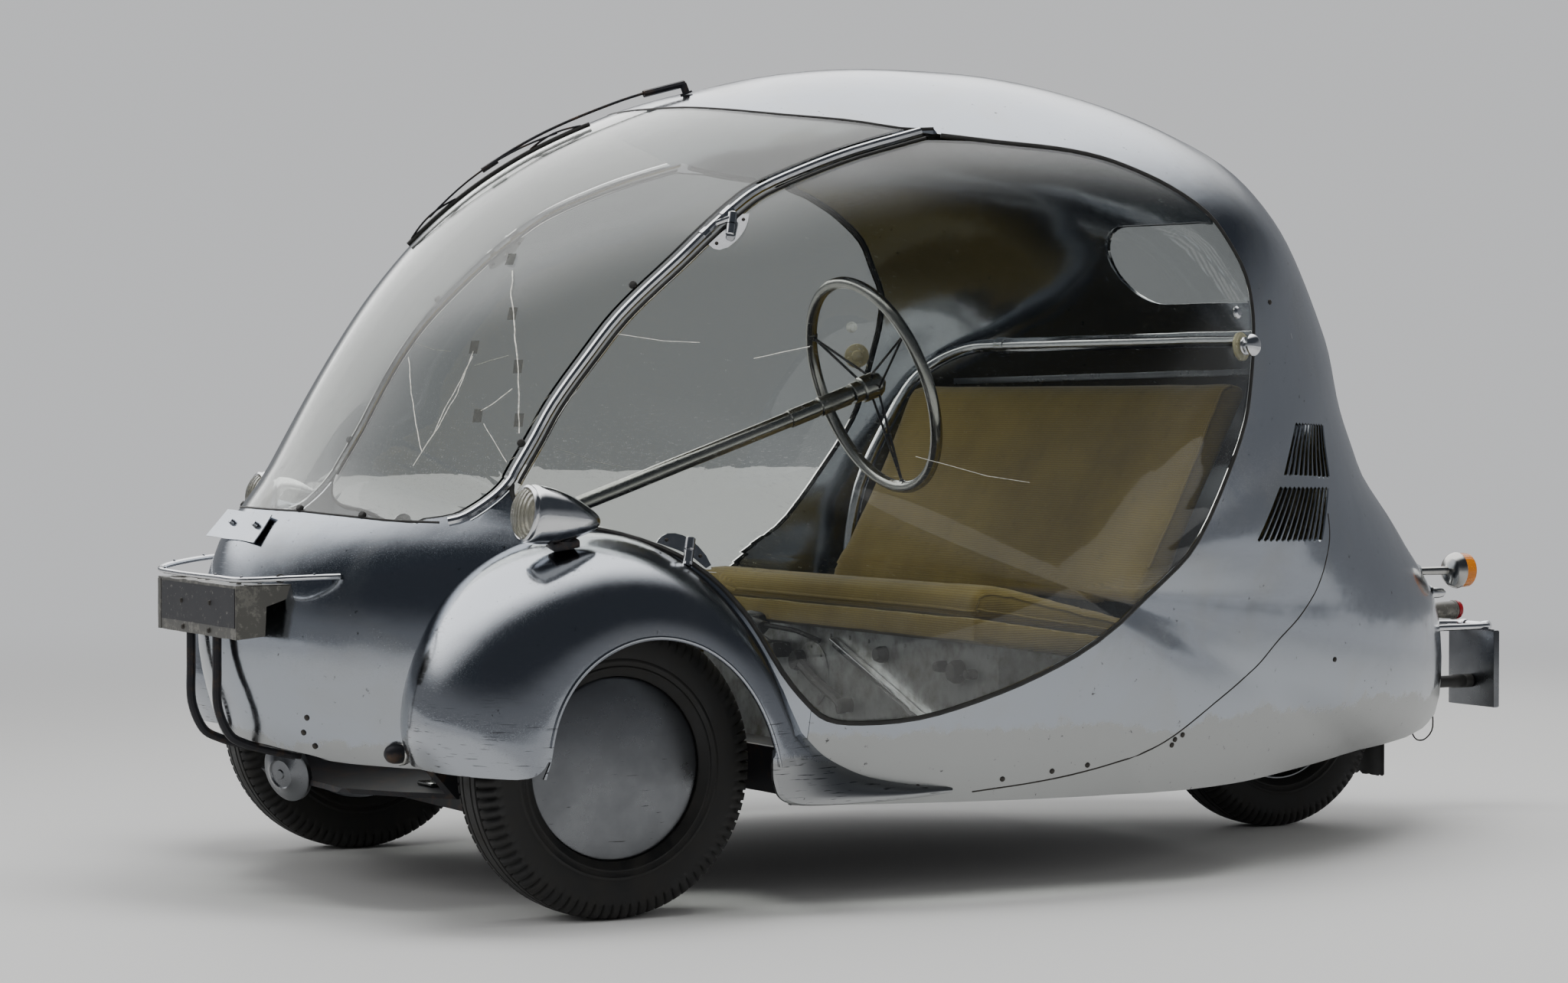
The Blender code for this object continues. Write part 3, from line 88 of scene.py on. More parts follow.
def feed(shader, **links):
    # Nodes, sockets or plain values go into a shader's inputs, by name or by number
    for name, value in links.items():
        key = int(name[1:]) if name[0] == "i" and name[1:].isdigit() else name.replace("_", " ")
        if isinstance(value, bpy.types.Node):
            value = value.outputs[2 if value.bl_idname == "ShaderNodeMix" else 0]
        if isinstance(value, bpy.types.NodeSocket):
            shader.id_data.links.new(value, shader.inputs[key])
        else:
            shader.inputs[key].default_value = value
    return shader


def node(tree, kind, settings=None, **links):
    # One node with its settings and what feeds its inputs
    new = tree.nodes.new("ShaderNode" + kind)
    for name, value in (settings or {}).items():
        setattr(new, name, value)
    return feed(new, **links)


def new_material(name):
    # The material, its node tree, its surface shader and the place on the piece
    material = bpy.data.materials.new(name)
    material.use_nodes = True
    tree = material.node_tree
    return (material, tree, tree.nodes["Principled BSDF"],
            node(tree, "TexCoord").outputs["Object"])


def noise_node(tree, where, size, detail=2.0, roughness=0.5, distortion=0.0):
    # Noise whose largest grain has a size in metres
    return node(tree, "TexNoise", Vector=where, Scale=1 / size, Detail=detail,
                Roughness=roughness, Distortion=distortion)


def blend(tree, share, first, second):
    # From one colour to the other, each a hex code or a node
    first, second = (linear(end) if isinstance(end, str) else end for end in (first, second))
    return node(tree, "Mix", {"data_type": "RGBA"}, i0=share, i6=first, i7=second)


def ranged(tree, value, start, end, low=0.0, high=1.0, soft=False):
    # The value's range becomes another one, in a straight line or softly at its ends
    return node(tree, "MapRange", {"interpolation_type": "SMOOTHSTEP"} if soft else None,
                Value=value, From_Min=start, From_Max=end, To_Min=low, To_Max=high)


studio = bpy.data.worlds.new("studio")
bpy.context.scene.world = studio
studio.use_nodes = True
tree = studio.node_tree
tree.nodes.clear()
path = node(tree, "LightPath")
seen = node(tree, "Math", {"operation": "MAXIMUM"}, i0=path.outputs["Is Camera Ray"],
            i1=path.outputs["Is Glossy Ray"])
seen = node(tree, "Math", {"operation": "MAXIMUM"}, i0=seen,
            i1=path.outputs["Is Transmission Ray"])
place = node(tree, "TexCoord")
height = node(tree, "SeparateXYZ", Vector=place.outputs["Generated"])
fade = ranged(tree, height.outputs["Z"], 0.11, 0.42, soft=True)
backdrop = blend(tree, fade, "#D2D3D5", "#54585E")
# Metal and clear sheet see a dimmer backdrop than the eye does, as in a darkened studio
dimmed = blend(tree, fade, "#85878B", "#3C4046")
backdrop = blend(tree, path.outputs["Is Glossy Ray"], backdrop, dimmed)
# A great soft panel hangs overhead and beyond the car, and its edges fade out
lean = node(tree, "VectorMath", {"operation": "DOT_PRODUCT"},
            i0=place.outputs["Generated"], i1=(-0.60, 0.0, 0.80))
panel = ranged(tree, lean.outputs["Value"], 0.45, 0.82, soft=True)
risen = ranged(tree, height.outputs["Z"], 0.14, 0.34, soft=True)
panel = node(tree, "Math", {"operation": "MULTIPLY"}, i0=panel, i1=risen)
backdrop = blend(tree, panel, backdrop, "#FFFFFF")
strength = node(tree, "Math", {"operation": "MULTIPLY_ADD"}, i0=panel, i1=1.9, i2=1.0)
shown = node(tree, "Background", Color=backdrop, Strength=strength)
glow = node(tree, "Background", Color=linear("#FFFFFF"), Strength=0.52)
both = node(tree, "MixShader", i0=seen, i1=glow, i2=shown)
node(tree, "OutputWorld", Surface=both)

shape = bmesh.new()
bmesh.ops.create_grid(shape, x_segments=1, y_segments=1, size=30.0)
mesh = bpy.data.meshes.new("studio_floor")
shape.to_mesh(mesh)
shape.free()
studio_floor = bpy.data.objects.new("studio_floor", mesh)
bpy.context.scene.collection.objects.link(studio_floor)
floor_paint, tree, surface, ground = new_material("floor_matt_paint")
feed(surface, Base_Color=linear("#CDCDCC"), Roughness=0.7)
# Far from the car the floor fades into the backdrop, and takes its colour
away = node(tree, "VectorMath", {"operation": "LENGTH"}, i0=ground)
curve = ranged(tree, away.outputs["Value"], 2.2, 6.5, soft=True)
beyond = node(tree, "Emission", Color=linear("#D2D3D5"), Strength=1.0)
mixed = node(tree, "MixShader", i0=curve, i1=surface, i2=beyond)
feed(tree.nodes["Material Output"], Surface=mixed)
mesh.materials.append(floor_paint)
studio_floor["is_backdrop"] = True

for name, spot, aim, width, depth, watts in (
        ("softbox_over", (0.6, -0.2, 3.6), (0.0, 0.2, 0.6), 3.2, 2.0, 120.0),
        ("softbox_front", (1.2, -4.2, 2.4), (0.0, 0.0, 0.6), 1.8, 1.8, 50.0),
        ("softbox_rear", (-1.5, 3.8, 2.6), (0.0, 0.3, 0.6), 2.0, 1.6, 40.0),
        ("softbox_side", (4.6, 1.6, 2.2), (0.0, 0.2, 0.6), 1.2, 1.8, 30.0)):
    lamp_data = bpy.data.lights.new(name, "AREA")
    lamp_data.shape = "RECTANGLE"
    lamp_data.size = width
    lamp_data.size_y = depth
    lamp_data.energy = watts
    lamp = bpy.data.objects.new(name, lamp_data)
    lamp.location = spot
    lamp.visible_glossy = False
    lamp.visible_transmission = False
    lamp.rotation_euler = (Vector(aim) - Vector(spot)).to_track_quat("-Z", "Y").to_euler()
    bpy.context.scene.collection.objects.link(lamp)


# Body shell: rear, roof and sills, beaten by hand from aluminium sheet and polished.
# It is one skin round a cross axis, cut out for the doors, the windscreen and the tail.
axis_y, axis_z, half_width = 0.650, 0.450, 0.655
skin_rows = (
    (-60, 0.760, 2.20), (-51, 0.786, 2.18), (-34, 0.811, 2.10), (-22, 0.960, 1.80),
    (-17, 1.110, 1.65), (-13, 1.165, 1.60), (-5, 1.140, 1.60), (3, 1.018, 1.75),
    (12, 0.905, 1.95), (20, 0.885, 2.00), (28, 0.897, 2.05), (38, 0.897, 2.20),
    (48, 0.876, 2.50), (60, 0.828, 2.85), (75, 0.802, 2.65), (90, 0.788, 2.43),
    (105, 0.790, 2.20), (120, 0.815, 2.00), (135, 0.857, 1.87), (150, 0.897, 1.75),
    (162, 0.937, 1.63), (170, 0.975, 1.65), (177, 1.035, 1.75), (184, 1.062, 1.85),
    (192, 1.045, 1.95), (202, 0.960, 2.10), (220, 0.780, 2.20), (250, 0.690, 2.20),
    (270, 0.680, 2.20), (290, 0.700, 2.20), (300, 0.760, 2.20))


def skin_row(angle):
    # Reach and squareness of the skin at an angle round the cross axis
    angles = [row[0] for row in skin_rows]
    angle = (angle + 60) % 360 - 60
    index = min(max(i for i in range(len(angles)) if angles[i] <= angle), len(angles) - 2)
    span = angles[index + 1] - angles[index]
    share = (angle - angles[index]) / span
    result = []
    for column in (1, 2):
        values = [row[column] for row in skin_rows]
        slopes = []
        for spot in (index, index + 1):
            if spot in (0, len(values) - 1):
                slopes.append(0)
                continue
            rise = (values[spot + 1] - values[spot]) / (angles[spot + 1] - angles[spot])
            fall = (values[spot] - values[spot - 1]) / (angles[spot] - angles[spot - 1])
            slopes.append(0 if rise * fall <= 0 else 2 * rise * fall / (rise + fall))
        start, end = values[index], values[index + 1]
        result.append(start * (2 * share ** 3 - 3 * share ** 2 + 1)
                      + end * (3 * share ** 2 - 2 * share ** 3)
                      + slopes[0] * span * (share ** 3 - 2 * share ** 2 + share)
                      + slopes[1] * span * (share ** 3 - share ** 2))
    return result


def on_skin(angle, x, stand=0.0):
    # A place on the skin, or standing off it, from its angle and its x
    reach, squareness = skin_row(angle)
    share = min(1.0, abs(x) / half_width)
    reach = (reach + stand) * max(0.0, 1 - share ** squareness) ** (1 / squareness)
    return (x, axis_y + reach * cos(radians(angle)), axis_z + reach * sin(radians(angle)))


def skin_x(y, z):
    reach, squareness = skin_row(degrees(atan2(z - axis_z, y - axis_y)))
    share = min(1.0, hypot(y - axis_y, z - axis_z) / reach)
    return half_width * (1 - share ** squareness) ** (1 / squareness)


def off_skin(x, y, z, stand):
    # Moves a place of the skin out along the skin's own normal
    step = 0.004
    side = 1 if x >= 0 else -1
    slope = Vector((1.0, -(skin_x(y + step, z) - skin_x(y - step, z)) / (2 * step),
                    -(skin_x(y, z + step) - skin_x(y, z - step)) / (2 * step))).normalized()
    return (x + side * slope.x * stand, y + slope.y * stand, z + slope.z * stand)


def made(name, shape, smooth=35.0):
    # A finished bmesh becomes a piece of the car, smooth but for its sharp edges
    mesh = bpy.data.meshes.new(name)
    shape.to_mesh(mesh)
    shape.free()
    mesh.shade_smooth()
    mesh.set_sharp_from_angle(angle=radians(smooth))
    piece = bpy.data.objects.new(name, mesh)
    bpy.context.scene.collection.objects.link(piece)
    return piece


def settled(piece, smooth=35.0):
    # The modifiers go into the mesh
    graph = bpy.context.evaluated_depsgraph_get()
    graph.update()
    mesh = bpy.data.meshes.new_from_object(piece.evaluated_get(graph))
    mesh.name = piece.name
    piece.modifiers.clear()
    piece.data = mesh
    mesh.shade_smooth()
    mesh.set_sharp_from_angle(angle=radians(smooth))
    return piece


def panel_skin(name, wall, across=176, around=208, inner_slot=0):
    # The whole skin, as a shell of even thickness, whose inner wall may take a second finish
    shape = bmesh.new()
    bmesh.ops.create_uvsphere(shape, u_segments=around, v_segments=across // 2, radius=1.0,
                              matrix=Matrix.Rotation(pi / 2, 4, "Y"))
    for corner in shape.verts:
        place = corner.co.normalized()
        angle = degrees(atan2(place.z, place.y))
        reach, squareness = skin_row(angle)
        tilt = abs(place.x)
        out = tilt ** (2 / squareness)
        away = max(0.0, 1 - tilt * tilt) ** (1 / squareness)
        side = 1 if place.x > 0 else -1
        corner.co = from_axle(side * half_width * out, axis_y + reach * away * cos(radians(angle)),
                              axis_z + reach * away * sin(radians(angle)))
    bmesh.ops.recalc_face_normals(shape, faces=shape.faces)
    piece = made(name, shape)
    for _ in range(inner_slot + 1):
        piece.data.materials.append(None)
    shell = piece.modifiers.new("wall", "SOLIDIFY")
    shell.material_offset = inner_slot
    shell.thickness = wall
    shell.offset = -1
    shell.use_even_offset = True
    return piece


def trimmed(piece, *cutters, keep=()):
    # Exact cuts, and the largest body is what is left
    for cutter in keep:
        part = piece.modifiers.new("keep", "BOOLEAN")
        part.operation = "INTERSECT"
        part.solver = "EXACT"
        part.object = cutter
    for cutter in cutters:
        part = piece.modifiers.new("cut", "BOOLEAN")
        part.operation = "DIFFERENCE"
        part.solver = "EXACT"
        part.object = cutter
    settled(piece)
    shape = bmesh.new()
    shape.from_mesh(piece.data)
    bmesh.ops.remove_doubles(shape, verts=shape.verts, dist=0.00001)
    left = set(shape.verts)
    islands = []
    while left:
        island, border = set(), [left.pop()]
        while border:
            here = border.pop()
            island.add(here)
            for edge in here.link_edges:
                other = edge.other_vert(here)
                if other in left:
                    left.remove(other)
                    border.append(other)
        islands.append(island)
    islands.sort(key=len)
    for island in islands[:-1]:
        bmesh.ops.delete(shape, geom=list(island), context="VERTS")
    shape.to_mesh(piece.data)
    shape.free()
    piece.data.shade_smooth()
    piece.data.set_sharp_from_angle(angle=radians(30))
    return piece


def pulled(shape, faces, step):
    # The faces are drawn out along a step
    drawn = bmesh.ops.extrude_face_region(shape, geom=faces)
    bmesh.ops.translate(shape, vec=step, verts=[
        v for v in drawn["geom"] if isinstance(v, bmesh.types.BMVert)])


shears = bpy.data.collections.new("shears")


def shear(name, outline, along, low, high):
    # A closed outline in two axes, drawn out along the third: the tool that a panel is cut with
    shape = bmesh.new()
    corners = [shape.verts.new(from_axle(*{"x": (low, a, b), "y": (a, low, b),
                                           "z": (a, b, low)}[along])) for a, b in outline]
    face = shape.faces.new(corners)
    step = {"x": (high - low, 0, 0), "y": (0, high - low, 0), "z": (0, 0, high - low)}[along]
    pulled(shape, [face], step)
    bmesh.ops.recalc_face_normals(shape, faces=shape.faces)
    mesh = bpy.data.meshes.new(name)
    shape.to_mesh(mesh)
    shape.free()
    tool = bpy.data.objects.new(name, mesh)
    shears.objects.link(tool)
    return tool


def rounded_path(points, pieces):
    # A path through the points, with its corners rounded
    path = []
    count = len(points)
    for index in range(count - 1):
        a, b, c, d = (Vector(points[min(max(index + k, 0), count - 1)]) for k in (-1, 0, 1, 2))
        for piece in range(pieces):
            t = piece / pieces
            path.append(tuple(0.5 * (2 * b + (c - a) * t + (2 * a - 5 * b + 4 * c - d) * t ** 2
                                     + (3 * b - a - 3 * c + d) * t ** 3)))
    path.append(tuple(points[-1]))
    return path


def shifted(path, distance, closed=False):
    # The path moved to its right hand side
    count = len(path)
    moved = []
    for index, place in enumerate(path):
        before = Vector(path[index - 1] if closed or index else place)
        after = Vector(path[(index + 1) % count] if closed or index < count - 1 else place)
        run = (after - before).normalized()
        moved.append((place[0] + run.y * distance, place[1] - run.x * distance))
    return moved


far = 1.3
pillar_line = [(-0.084, 0.607), (-0.077, 0.619), (-0.046, 0.668), (-0.019, 0.714),
               (0.016, 0.766), (0.060, 0.824), (0.101, 0.867), (0.158, 0.918), (0.206, 0.960),
               (0.255, 0.998), (0.297, 1.025), (0.363, 1.054), (0.445, 1.084), (0.552, 1.115)]
pillar_foot_line = [(-0.190, 0.545), (-0.155, 0.552), (-0.128, 0.567), (-0.102, 0.587)]
door_back_line = [(0.552, 1.115), (0.656, 1.103), (0.751, 1.095), (0.819, 1.083), (0.871, 1.065),
                  (0.923, 1.040), (0.977, 1.002), (1.007, 0.958), (1.032, 0.908), (1.036, 0.860),
                  (1.031, 0.814), (1.017, 0.745), (0.999, 0.685), (0.955, 0.609),
                  (0.888, 0.513), (0.819, 0.455), (0.694, 0.371), (0.600, 0.326),
                  (0.506, 0.293), (0.415, 0.270), (0.331, 0.265), (0.280, 0.272),
                  (0.248, 0.296), (0.212, 0.340), (0.170, 0.415), (0.125, 0.475),
                  (0.075, 0.512), (0.012, 0.535), (-0.045, 0.546), (-0.078, 0.562),
                  (-0.088, 0.585), (-0.084, 0.607)]
roof_edge = [(0.000, 0.250), (0.070, 0.266), (0.127, 0.296), (0.193, 0.336), (0.257, 0.389),
             (0.320, 0.461), (0.375, 0.529), (0.392, 0.575)]
pillar_path = rounded_path(pillar_line, 3)
back_path = rounded_path(door_back_line, 3)[1:-1]
screen_path = rounded_path(pillar_foot_line + pillar_line, 3)
roof_path = rounded_path(roof_edge, 3)
tube_half, running_gap, fit = 0.007, 0.006, 0.0004
whole = pillar_path + back_path
hole = {1: shear("hole_near", whole, "x", 0.15, far),
        -1: shear("hole_far", whole, "x", -far, -0.15)}


def ahead_of_roof(name, distance):
    edge = [(x, y - distance) for x, y in roof_path]
    near = [(far, edge[-1][1])] + edge[::-1]
    return shear(name, [(-far, -far), (far, -far)] + near + [(-x, y) for x, y in near[::-1]][1:],
                 "z", axis_z, far + axis_z)


window_half, window_low, window_high = 0.248, 0.885, 1.020


def window_outline(gap):
    radius = (window_high - window_low) / 2 - gap
    middle = (window_high + window_low) / 2
    reach = window_half - gap - radius
    turns = [(side, radians(90 * step / 8 - 90)) for side in (1, -1) for step in range(17)]
    return [(side * reach + radius * cos(side * turn + (0 if side > 0 else pi)),
             middle + side * radius * sin(turn)) for side, turn in turns]


# Louvres: two groups of upright slots punched through each rear flank, each with a lip
# raised at its rear edge by the press. Rows hold the four corners of a group, y and z.
louvre_groups = (
    (10, (1.136, 0.683), (1.238, 0.680), (1.241, 0.601), (1.093, 0.607)),
    (12, (1.079, 0.587), (1.231, 0.583), (1.197, 0.505), (1.017, 0.511)))
louvre_width = 0.0084
slots = []
shape = bmesh.new()
for count, top_start, top_end, foot_end, foot_start in louvre_groups:
    for index in range(count):
        share = (index + 0.5) / count
        top = Vector(top_start).lerp(Vector(top_end), share)
        foot = Vector(foot_start).lerp(Vector(foot_end), share)
        slots.append((top, foot))
        across = Vector((louvre_width / 2, 0))
        ring = [shape.verts.new(from_axle(-far, *place)) for place in (
            foot - across, foot + Vector((0, -0.003)), foot + across,
            top + across, top + Vector((0, 0.003)), top - across)]
        face = shape.faces.new(ring)
        pulled(shape, [face], (2 * far, 0, 0))
bmesh.ops.recalc_face_normals(shape, faces=shape.faces)
mesh = bpy.data.meshes.new("louvre_punch")
shape.to_mesh(mesh)
shape.free()
louvre_punch = bpy.data.objects.new("louvre_punch", mesh)
shears.objects.link(louvre_punch)

foot_line = [(0.200, 0.150), (0.900, 0.143), (1.200, 0.147), (1.400, 0.153), (1.560, 0.163),
             (1.700, 0.177), (1.780, 0.190), (1.900, 0.210)]
body_shell = trimmed(
    panel_skin("body_panels", 0.008, inner_slot=1),
    shear("under_body", [(0.0, -far), (2 * far, -far), (2 * far, 0.210)]
          + rounded_path(foot_line, 3)[::-1] + [(0.0, 0.150)], "x", -far, far),
    shear("ahead_of_sill", [(-far, -far), (0.2556, -far), (0.2556, 0.29), (0.30, 0.46),
                            (-far, 0.46)], "x", -far, far),
    ahead_of_roof("roof_front", 0.0), hole[1], hole[-1],
    shear("window_hole", window_outline(0.0), "y", 1.05, 2 * far), louvre_punch)
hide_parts("body_shell")
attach(body_shell, "body")


def dented_aluminium(name, grey, dull, band, scraped=None):
    # Aluminium sheet, planished by hand and polished: long soft waves from the hammer, fine
    # polishing scratches, clouds of dull oxide, and a duller band low down where it is wet
    material, tree, surface, where = new_material(name)
    waves = noise_node(tree, where, 0.110, 1.0, 0.4)
    blows = noise_node(tree, where, 0.032, 1.0, 0.5)
    clouds = noise_node(tree, where, 0.180, 6.0, 0.62, 0.6)
    grime = noise_node(tree, where, 0.012, 4.0, 0.7)
    turned_place = node(tree, "Mapping", Vector=where, Rotation=(0.5, 0.3, 0.9),
                        Scale=(26.0, 900.0, 900.0))
    scratches = node(tree, "TexNoise", Vector=turned_place, Scale=1.0, Detail=3.0, Roughness=0.7)
    fine = ranged(tree, scratches, 0.56, 0.70)
    cloud = ranged(tree, clouds, 0.48, 0.72, high=0.38, soft=True)
    speck = ranged(tree, grime, 0.66, 0.74)
    height = node(tree, "SeparateXYZ", Vector=where).outputs["Z"]
    wander = noise_node(tree, where, 0.20, 9.0, 0.68)
    wavy = node(tree, "Math", {"operation": "MULTIPLY_ADD"}, i0=wander, i1=band[1], i2=height)
    low = ranged(tree, wavy, band[0] + 0.006 + band[1] / 2, band[0] - 0.006 + band[1] / 2,
                 high=0.85, soft=True)
    stain = node(tree, "Math", {"operation": "MAXIMUM"}, i0=cloud, i1=low).outputs[0]
    tint = node(tree, "Mix", {"data_type": "RGBA"}, i0=stain, i6=linear(grey), i7=linear(dull))
    spots = blend(tree, speck, tint, "#4F4F50")
    if scraped:
        # Kerbs and doors have left short dark scrapes along the car between two heights
        along = node(tree, "Mapping", Vector=where, Rotation=(0.10, 0, 0),
                     Scale=(30.0, 26.0, 520.0))
        kerb = node(tree, "TexNoise", Vector=along, Scale=1.0, Detail=2.0)
        scrape = ranged(tree, kerb, 0.63, 0.69)
        below = ranged(tree, height, scraped[1], scraped[0], soft=True)
        scrape = node(tree, "Math", {"operation": "MULTIPLY"}, i0=scrape, i1=below)
        spots = blend(tree, scrape, spots, "#37383A")
    rough = node(tree, "Math", {"operation": "MULTIPLY_ADD"}, i0=stain, i1=0.26, i2=0.11)
    rough = node(tree, "Math", {"operation": "MULTIPLY_ADD"}, i0=fine, i1=0.10, i2=rough)
    long_bump = node(tree, "Bump", Strength=0.55, Distance=0.0032, Height=waves)
    hammer = node(tree, "Bump", Strength=0.30, Distance=0.0006, Height=blows, Normal=long_bump)
    nick = node(tree, "Bump", Strength=0.18, Distance=0.00015, Height=fine, Normal=hammer)
    feed(surface, Base_Color=spots, Roughness=rough, Normal=nick, Metallic=1.0)
    return material


polished_sheet = dented_aluminium("polished_aluminium_sheet", "#A2A7AE", "#A3A4A2", (0.250, 0.14))
# The inside was never polished: it is dull, with a random mottle, and scatters light
inner_sheet_painted_shade, tree, surface, where = new_material("unpolished_inner_sheet")
inner_mottle = noise_node(tree, where, 0.150, 6.0, 0.65)
# Its dark colour is partly the dull sheet's own and partly painted shade inside the closed cab
inner_tone_with_painted_shade = blend(tree, inner_mottle, "#3F3C37", "#5C5851")
feed(surface, Base_Color=inner_tone_with_painted_shade, Metallic=0.30, Roughness=0.62)
body_shell.data.materials.clear()
body_shell.data.materials.append(polished_sheet)
body_shell.data.materials.append(inner_sheet_painted_shade)


def pipe(name, points, radius, closed=False, sides=12):
    # A bent tube with closed ends, made from its centre line
    line = bpy.data.curves.new(name, "CURVE")
    line.dimensions = "3D"
    spline = line.splines.new("POLY")
    spline.points.add(len(points) - 1)
    for spot, point in zip(spline.points, points):
        spot.co = (*from_axle(*point), 1.0)
    spline.use_cyclic_u = closed
    line.bevel_depth = radius
    line.bevel_resolution = max(1, sides // 4 - 1)
    line.use_fill_caps = not closed
    holder = bpy.data.objects.new(name, line)
    bpy.context.scene.collection.objects.link(holder)
    graph = bpy.context.evaluated_depsgraph_get()
    graph.update()
    mesh = bpy.data.meshes.new_from_object(holder.evaluated_get(graph))
    bpy.data.objects.remove(holder, do_unlink=True)
    shape = bmesh.new()
    shape.from_mesh(mesh)
    bpy.data.meshes.remove(mesh)
    bmesh.ops.remove_doubles(shape, verts=shape.verts, dist=0.00002)
    bmesh.ops.recalc_face_normals(shape, faces=shape.faces)
    return made(name, shape)


def lathe(name, profile, middle, axis, steps=40, smooth=35.0):
    # A turned piece: rows of radius and place along the axis, from top to bottom
    shape = bmesh.new()
    rows = [shape.verts.new((radius, 0, along)) for radius, along in profile]
    edges = [shape.edges.new(pair) for pair in zip(rows[:-1], rows[1:])]
    bmesh.ops.spin(shape, geom=rows + edges, cent=(0, 0, 0), axis=(0, 0, 1), angle=2 * pi,
                   steps=steps, use_merge=True)
    bmesh.ops.remove_doubles(shape, verts=shape.verts, dist=0.00001)
    bmesh.ops.dissolve_degenerate(shape, edges=shape.edges, dist=0.00001)
    turn = Vector((0, 0, 1)).rotation_difference(Vector(axis)).to_matrix().to_4x4()
    bmesh.ops.transform(shape, matrix=Matrix.Translation(from_axle(*middle)) @ turn,
                        verts=shape.verts)
    bmesh.ops.recalc_face_normals(shape, faces=shape.faces)
    return made(name, shape, smooth)


def dressed(piece, material, body="body", stands_for=()):
    # Finish, the body that it rides on and the solids that it stands for
    piece.data.materials.clear()
    piece.data.materials.append(material)
    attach(piece, body)
    if stands_for:
        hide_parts(*stands_for)
    return piece


def joined(name, pieces, smooth=35.0):
    # Small pieces of one kind become one piece
    shape = bmesh.new()
    for piece in pieces:
        shape.from_mesh(piece.data)
        bpy.data.objects.remove(piece, do_unlink=True)
    return made(name, shape, smooth)


lips = []
for side in (1, -1):
    for top, foot in slots:
        run = [foot.lerp(top, step / 5) + Vector((louvre_width * 0.55, 0)) for step in range(6)]
        lips.append(pipe("lip", [off_skin(side * skin_x(y, z), y, z, 0.0006) for y, z in run],
                         0.0013, sides=8))
dressed(joined("louvre_lips", lips), polished_sheet)

# Seam where the lower flank sheet laps under the upper one, and round head screws along it
seam_line = [(1.2220, 0.5450), (1.2180, 0.5000), (1.1830, 0.4360), (1.1360, 0.3940),
             (1.0780, 0.3580), (1.0180, 0.3140), (0.9350, 0.2720), (0.8130, 0.2110),
             (0.6760, 0.1790), (0.5160, 0.1610)]
seam_path = rounded_path(seam_line, 6)
grimy_steel, tree, surface, where = new_material("grimy_oxide")
flecks = noise_node(tree, where, 0.006, 4.0)
mottle = blend(tree, flecks, "#1F1E1C", "#4C4843")
feed(surface, Base_Color=mottle, Metallic=0.6, Roughness=0.55)
seams = []
for side in (1, -1):
    seams.append(pipe("seam", [off_skin(side * skin_x(y, z), y, z, -0.0006)
                               for y, z in seam_path], 0.0014, sides=8))
dressed(joined("flank_seam", seams), grimy_steel)


def screw_heads(name, places, radius=0.0042, rise=0.0022):
    heads = []
    for x, y, z in places:
        stand = Vector(off_skin(x, y, z, 1.0)) - Vector((x, y, z))
        heads.append(lathe("head", [
            (0, rise), (radius * 0.6, rise * 0.9), (radius * 0.95, rise * 0.4), (radius, -0.002),
            (0, -0.002)], (x, y, z), stand, 14))
    return joined(name, heads)


def beside(y, z, side=1):
    return (side * skin_x(y, z), y, z)


# Chrome plate with a light haze and small pits, which break up its mirror
chrome_plate, tree, surface, where = new_material("chrome_plate")
haze = noise_node(tree, where, 0.020, 5.0, 0.65)
pits = noise_node(tree, where, 0.0025, 2.0)
pitted = ranged(tree, pits, 0.70, 0.76)
worn = ranged(tree, haze, 0.35, 0.75, 0.05, 0.26)
shade = blend(tree, pitted, "#D3D4D6", "#6A655E")
dimple = node(tree, "Bump", Strength=0.25, Distance=0.0004, Height=haze)
feed(surface, Base_Color=shade, Roughness=worn, Normal=dimple, Metallic=1.0)

flank_screws = [beside(y, z, side) for side in (1, -1) for y, z in (
    (0.560, 0.178), (0.640, 0.186), (0.700, 0.192), (0.430, 0.172), (0.345, 0.176),
    (0.855, 0.222), (0.870, 0.228), (0.850, 0.214), (1.230, 0.320), (1.090, 0.868))]
dressed(screw_heads("flank_screws", flank_screws), grimy_steel)
dressed(screw_heads("roof_lock_button", [beside(0.990, 0.850), beside(0.990, 0.850, -1)],
                    0.010, 0.006), chrome_plate)


# Rear window and windscreen: clear acrylic sheet, cut to shape, screwed at its edges.
# Age has left it scratched, a little milky, and cracked on the near side.
def clear_acrylic(name, tint, haze_share, scratch_share):
    material, tree, surface, where = new_material(name)
    output = tree.nodes["Material Output"]
    lines = []
    for turn, stretch in (((0.2, 0.5, 0.1), (9.0, 520.0, 520.0)),
                          ((0.9, 0.1, 0.7), (12.0, 380.0, 380.0)),
                          ((1.4, 0.8, 0.4), (7.0, 460.0, 460.0))):
        laid = node(tree, "Mapping", Vector=where, Rotation=turn, Scale=stretch)
        drawn = node(tree, "TexNoise", Vector=laid, Scale=1.0, Detail=1.0)
        lines.append(ranged(tree, drawn, 0.745, 0.80).outputs[0])
    line = node(tree, "Math", {"operation": "MAXIMUM"}, i0=lines[0], i1=lines[1])
    line = node(tree, "Math", {"operation": "MAXIMUM"}, i0=line, i1=lines[2])
    dust = noise_node(tree, where, 0.004, 2.0)
    dusty = ranged(tree, dust, 0.775, 0.82)
    mark = node(tree, "Math", {"operation": "MAXIMUM"}, i0=line, i1=dusty)
    rough = node(tree, "Math", {"operation": "MULTIPLY_ADD"}, i0=mark,
                 i1=scratch_share, i2=haze_share)
    scored = node(tree, "Bump", Strength=0.12, Distance=0.0001, Height=line)
    feed(surface, Roughness=rough, Normal=scored, Base_Color=linear(tint), IOR=1.49,
         Transmission_Weight=1.0)
    # Lamps light what is behind the sheet
    rays = node(tree, "LightPath")
    let_through = node(tree, "BsdfTransparent", Color=linear(tint))
    mixed = node(tree, "MixShader", i0=rays.outputs["Is Shadow Ray"], i1=surface, i2=let_through)
    feed(output, Surface=mixed)
    return material


